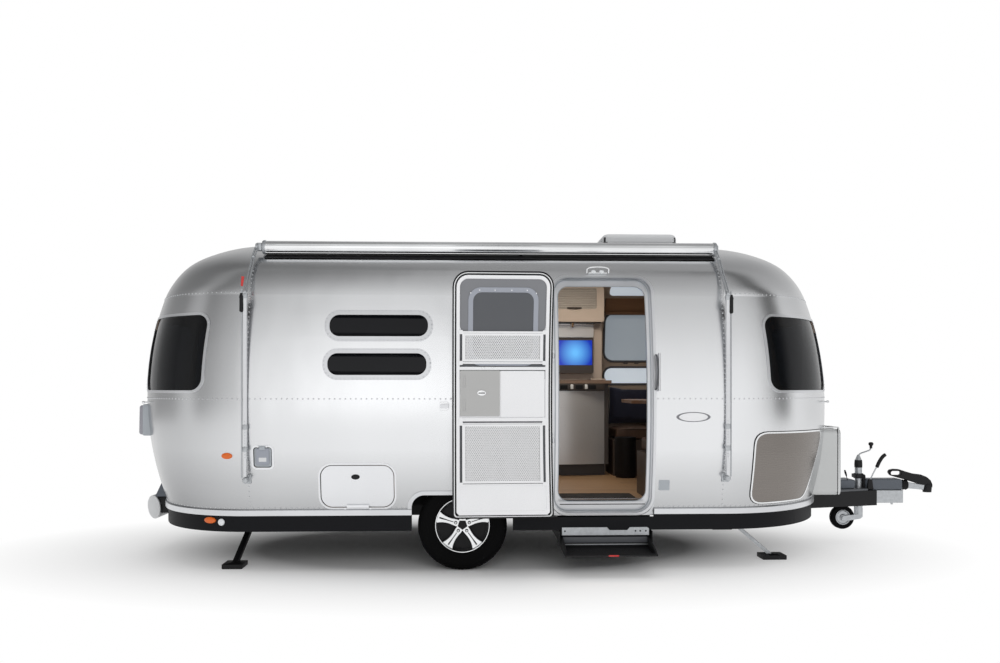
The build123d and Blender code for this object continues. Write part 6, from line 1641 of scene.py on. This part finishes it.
for y in (-0.038, 0.038):
    slab(fork, [(3.332, 0.2), (3.338, 0.19), (3.372, 0.186), (3.5, 0.205), (3.52, 0.222), (3.522, 0.3),
                (3.5, 0.322), (3.478, 0.318), (3.478, 0.246), (3.36, 0.232), (3.336, 0.224)], 0.0035, 0.001,
         (), y)
block(fork, at(3.478, -0.04, 0.304), at(3.522, 0.04, 0.326), 0.004)
turned(fork, [(0, -0.044), (0.012, -0.044), (0.012, 0.044), (0, 0.044)], at(ROLLER_AXLE_X, 0, ROLLER_AXLE_Z),
       (0, 1, 0), 16)
settle("jockey_fork_arms", fork, "zinc", "jockey_castor", stands_for="jockey_fork")
hub = bmesh.new()
for way in (-1, 1):
    turned(hub, [(0, 0), (0.066, 0), (0.066, 0.006), (0.058, 0.009), (0.052, 0.003), (0.03, 0.002),
                 (0.022, 0.009), (0, 0.009)], at(ROLLER_AXLE_X, way * 0.0225, ROLLER_AXLE_Z), (0, way, 0), 36)
settle("jockey_wheel_rim", hub, "zinc", "jockey_roller")
print("jockey wheel done")

# %% [markdown]
# The steadies stand on black feet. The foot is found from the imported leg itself: the corners of the
# leg that touch the ground give its size, and a wider tapered pad is drawn round them.

# %% Steady feet
for label in ("front_right", "front_left", "rear_right", "rear_left"):
    leg = [v.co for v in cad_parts["steady_" + label].data.vertices]
    base = [v for v in leg if v.z < ground + 0.02]
    low = Vector([min(v[i] for v in base) for i in range(3)])
    high = Vector([max(v[i] for v in base) for i in range(3)])
    pad = bmesh.new()
    shape = bmesh.new()
    block(shape, low + Vector((-0.01, -0.006, 0.0)), high + Vector((0.01, 0.006, 0.04)), 0.006)
    middle = (low + high) / 2
    for vert in shape.verts:
        if vert.co.z > ground + 0.035:
            vert.co.x = middle.x + (vert.co.x - middle.x) * 0.45
            vert.co.y = middle.y + (vert.co.y - middle.y) * 0.6
    pour(pad, shape)
    settle("steady_foot_" + label, pad, "black_moulding", "leg_" + label)
print("feet done")

# %% [markdown]
# The cabin shows through the open door. Its packed cupboards are plain boxes, so the faces that are
# seen get real fronts: a slatted shutter in a frame, a control strip, a screen and a hood. The slats
# are one small shape repeated by the row tree.

# %% Overhead cupboard and its shutter
surround = bmesh.new()
plate(surround, rounded(0.9, 2.16, 0.894, 0.336, 0.02, 5), 0.7255, 0.7345,
      [rounded(0.87, 2.2165, 0.812, 0.201, 0.022, 5)], 0.0015, laid)
plate(surround, rounded(1.296, 1.882, 0.09, 0.894, 0.006, 4), 0.838, 0.858, (), 0.002, laid)
plate(surround, rounded(0.853, 1.706, 0.8, 0.545, 0.004, 4), 0.848, 0.856, (), 0.001, laid)
settle("cupboard_surround", surround, "beige_laminate")
slat = bmesh.new()
block(slat, (0, 0, 0), (0.812, 0.0075, 0.0152), 0.0026)
grow("shutter_slats", line_tree, plan_of(slat), "shutter_slat", "cabinet_wood", "caravan",
     lambda v: at(0.464, 0.727, 2.1165) + v, Count=12, StepX=0.0, StepZ=0.0168)
dark = bmesh.new()
bar(dark, eased([at(0.99, 0.722, 2.124), at(1.01, 0.708, 2.124), at(1.105, 0.708, 2.124),
                 at(1.125, 0.722, 2.124)]), 0.0065, 8)
for x in (1.62, 1.73):
    bar(dark, eased([at(x - 0.02, 1.085, 1.604), at(x, 1.06, 1.6), at(x + 0.02, 1.085, 1.604)]), 0.006, 8)
settle("cabin_handles", dark, "dark_laminate")
print("shutter done")

# %% Hood, spot lamp and screen
hood, rail, glows = bmesh.new(), bmesh.new(), bmesh.new()
plate(hood, rounded(0.87, 1.922, 0.77, 0.15, 0.008, 4), 0.806, 0.822, (), 0.002, laid)
settle("galley_splash_panel", hood, "galley_steel")
bar(rail, [at(0.47, 0.79, 1.972), at(1.262, 0.79, 1.972)], 0.0075, 10)
for x in (0.62, 1.048):
    turned(rail, [(0, 0), (0.02, 0), (0.016, 0.04), (0.01, 0.052), (0, 0.052)], at(x, 0.748, 1.99),
           (0, 0.35, -1), 20)
    bar(rail, [at(x, 0.79, 1.972), at(x, 0.752, 1.992)], 0.005, 8)
    turned(glows, [(0, 0), (0.0085, 0.001), (0.006, 0.006), (0, 0.008)], at(x, 0.744, 2.0), (0, -1, 0.2), 16)
settle("galley_rail", rail, "bright_trim")
settle("galley_spots", glows, "clear_lens")
tree, shader = shader_of(finish("screen_glow", (0.01, 0.02, 0.05), 0.15, broad=2, fine=200, grain=0.02))
middle = at(1.077, 0.0, 1.698)
from_middle = object_place(tree, (1, 0, 1), (-middle.x, 0, -middle.z))
away = add_node(tree, "ShaderNodeVectorMath", {0: from_middle}, operation="LENGTH")
hue = add_node(tree, "ShaderNodeValToRGB", {0: away.outputs["Value"]})
for element, place, colour in zip(hue.color_ramp.elements, (0.02, 0.17),
                                  ((0.12, 0.48, 0.95, 1), (0.001, 0.022, 0.42, 1))):
    element.position, element.color = place, colour
tree.links.new(hue.outputs[0], shader.inputs["Emission Color"])
shader.inputs["Emission Strength"].default_value = 1.0
bezel, glass = bmesh.new(), bmesh.new()
plate(bezel, rounded(1.077, 1.669, 0.35, 0.34, 0.01, 5), 0.79, 0.836,
      [rounded(1.077, 1.698, 0.326, 0.24, 0.005, 4)], 0.003, laid)
plate(glass, rounded(1.077, 1.698, 0.328, 0.242, 0.005, 4), 0.7955, 0.8, (), 0.0005, laid)
settle("screen_bezel", bezel, "dark_laminate", stands_for="tv")
settle("screen_face", glass, "screen_glow", stands_for="tv")
print("screen done")

# %% Galley controls, worktop edge and shelf
strip, buttons, knobs, tray = bmesh.new(), bmesh.new(), bmesh.new(), bmesh.new()
block(strip, at(0.462, 0.6, 1.336), at(1.33, 0.616, 1.398), 0.002)
settle("galley_control_strip", strip, "dark_laminate")
for x in (0.945, 1.09, 1.215):
    block(buttons, at(x - 0.035, 0.5965, 1.346), at(x + 0.035, 0.603, 1.384), 0.002)
settle("galley_switches", buttons, "black_moulding")
for x in (1.02, 1.155):
    block(knobs, at(x - 0.013, 0.58, 1.346), at(x + 0.013, 0.604, 1.39), 0.004)
settle("galley_knobs", knobs, "pale_plastic")
block(tray, at(1.206, 0.655, 1.4305), at(1.351, 0.745, 1.446), 0.004)
settle("worktop_board", tray, "beige_laminate")


def far_side(spot):
    """(ahead of the axle, depth under the skin, height) on the side away from the door."""
    return at(spot[0], reach(spot[2], spot[1]), spot[2])


shelf, lights = bmesh.new(), bmesh.new()
plate(shelf, rounded(1.679, 2.171, 0.562, 0.134, 0.004, 4), 0.046, 0.085, (), 0.003, far_side, 0.06)
plate(shelf, rounded(1.679, 2.095, 0.562, 0.022, 0.004, 4), 0.046, 0.12, (), 0.003, far_side, 0.06)
settle("front_shelf", shelf, "brown_wood")
# the skylight strip, the blind and the low pane below glow by emission: painted daylight from outside
plate(lights, rounded(1.64, 2.312, 0.42, 0.09, 0.035, 6), 0.046, 0.05, (), 0.001, far_side, 0.06)
settle("cabin_skylight", lights, "skylight")
blinds, bright, trims = bmesh.new(), bmesh.new(), bmesh.new()
for x, z, width, height, radius in FRONT_PANES:
    target = blinds if height > 0.3 else bright
    plate(target, rounded(x, z, width + 0.004, height + 0.004, radius), 0.043, 0.0455, (), 0.0006, far_side,
          0.06)
    plate(trims, rounded(x, z, width + 0.036, height + 0.036, radius + 0.018), 0.0425, 0.052,
          [rounded(x, z, width - 0.004, height - 0.004, radius)], 0.003, far_side, 0.06)
settle("cabin_blind", blinds, "window_blind")
settle("cabin_low_pane", bright, "skylight")
settle("cabin_window_trims", trims, "dark_panel")
print("galley done")

# %% [markdown]
# A slim grab handle stands beside the doorway. It is one bar whose ends turn in to the wall.

# %% Grab handle
grab = bmesh.new()
bar(grab, eased([at(1.426, -1.236, 1.352), at(1.43, -1.262, 1.366), at(1.44, -1.264, 1.48),
                 at(1.43, -1.262, 1.594), at(1.426, -1.236, 1.608)]), 0.0062, 10)
settle("grab_handle_loop", grab, "dark_panel")
print("grab handle done")

# %% [markdown]
# The waste bin is a tapered tub with upright flutes. The ring tree works round the Y axis, so one
# flute is drawn lying down, repeated, and the whole ring is stood up.

# %% Waste bin, door mat and door catch
tub = bmesh.new()
turned(tub, [(0, 0), (0.086, 0), (0.09, 0.01), (0.0985, 0.35), (0.101, 0.372), (0.096, 0.378), (0.08, 0.37),
             (0, 0.362)], at(1.51, 0.5, FLOOR_TOP), (0, 0, 1), 48)
settle("bin_tub", tub, "black_moulding", stands_for="waste_bin")
flute = bmesh.new()
bar(flute, [(0, 0.02, 0.0895), (0, 0.34, 0.097)], 0.003, 6)
grow("bin_flutes", ring_tree, plan_of(flute), "black_moulding", "dark_trim", "caravan",
     lambda v: at(1.51, 0.5, FLOOR_TOP) + Vector((v.x, v.z, v.y)), Count=44, stands_for="waste_bin")
mat = bmesh.new()
block(mat, at(0.745, -0.968, FLOOR_TOP), at(1.325, -0.72, 0.526), 0.002)
settle("floor_mat", mat, "door_mat")
catch = bmesh.new()
plate(catch, rounded(-0.133, 1.231, 0.06, 0.058, 0.008, 4), -0.0185, -0.012,
      [rounded(-0.133 + dx, 1.231 + dz, 0.012, 0.01, 0.003, 3) for dx in (-0.014, 0.014)
       for dz in (-0.012, 0.012)], 0.001, on_side)
settle("door_catch_plate", catch, "bright_trim")
print("bin and mat done")

# %% [markdown]
# Cushions are made the way an upholsterer would: each starts as a plain block of foam a little too
# small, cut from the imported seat, and is then blown up by a cloth simulation until its sides pull in
# and its top crowns. A cap on how far any point moves keeps it inside the seat's space.

# %% Padding helper
SWELL_FRAMES = 20


def swell_up(name, foam, pressure, cap):
    """Blow a mesh up with cloth, and cap how far each point moves."""
    start = [vert.co.copy() for vert in foam.vertices]
    carrier = bpy.data.objects.new(name + "_foam", foam)
    scene.collection.objects.link(carrier)
    cloth = carrier.modifiers.new("cloth", "CLOTH").settings
    cloth.use_pressure = True
    cloth.uniform_pressure_force = pressure
    cloth.effector_weights.gravity = 0
    cloth.quality = 5
    cloth.tension_stiffness = cloth.compression_stiffness = 20
    for number in range(1, SWELL_FRAMES + 1):
        scene.frame_set(number)
    depsgraph = bpy.context.evaluated_depsgraph_get()
    swollen = bpy.data.meshes.new_from_object(carrier.evaluated_get(depsgraph))
    bpy.data.objects.remove(carrier)
    for vert, before in zip(swollen.vertices, start):
        move = vert.co - before
        if move.length > cap:
            vert.co = before + move.normalized() * cap
    scene.frame_set(1)
    return swollen


def padded_block(name, source, low, high, look, voxel, pressure=4.0, cap=0.024, shrink=0.012):
    """Cut a box out of a packed soft solid, shrink it and swell it with cloth."""
    shape = copy_faces([source], lambda f: True)
    for i in range(3):
        for limit, sign in ((low[i], -1), (high[i], 1)):
            normal = Vector([sign * (k == i) for k in range(3)])
            spot = Vector([limit * (k == i) for k in range(3)])
            geometry = shape.verts[:] + shape.edges[:] + shape.faces[:]
            bmesh.ops.bisect_plane(shape, geom=geometry, plane_co=spot, plane_no=normal, clear_outer=True)
            open_edges = [e for e in shape.edges if len(e.link_faces) == 1]
            if open_edges:
                bmesh.ops.holes_fill(shape, edges=open_edges)
    bmesh.ops.recalc_face_normals(shape, faces=shape.faces)
    foam = evaluated(name + "_foam", plan_of(shape), ("REMESH", {"mode": "VOXEL", "voxel_size": voxel}))
    for vert in foam.vertices:
        vert.co -= vert.normal * shrink
    foam = swell_up(name, foam, pressure, cap)
    mesh = evaluated(name + "_foam", foam, ("SUBSURF", {"levels": 1, "render_levels": 1}))
    made = keep(name, mesh, look, "caravan", 80)
    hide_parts(source)
    return made


print("padding ready, simulation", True)

# %% Seats, backs and mattress
FAR = 9.0
LEVELS = ((0.85, 0.9695), (0.9705, 1.38))
# across the cabin: how far each seat goes, then its back
SPANS = {
    "right": ((-FAR, -0.624), (-FAR, -0.905)),
    "left": ((0.624, FAR), (0.905, FAR)),
    "front": ((-0.616, 0.616), (-0.895, 0.895)),
}
for label, spans in SPANS.items():
    for part, look, (low, high), (y_low, y_high) in zip(("seat", "back"), ("brown_hide", "blue_navy"),
                                                        LEVELS, spans):
        padded_block(f"{part}_cushion_{label}", "cushions", at(-FAR, y_low, low), at(FAR, y_high, high),
                     look, 0.016)
padded_block("mattress_pad", "mattress", at(-FAR, -FAR, 0), at(FAR, FAR, FAR), "linen", 0.024)
print("cushions done")
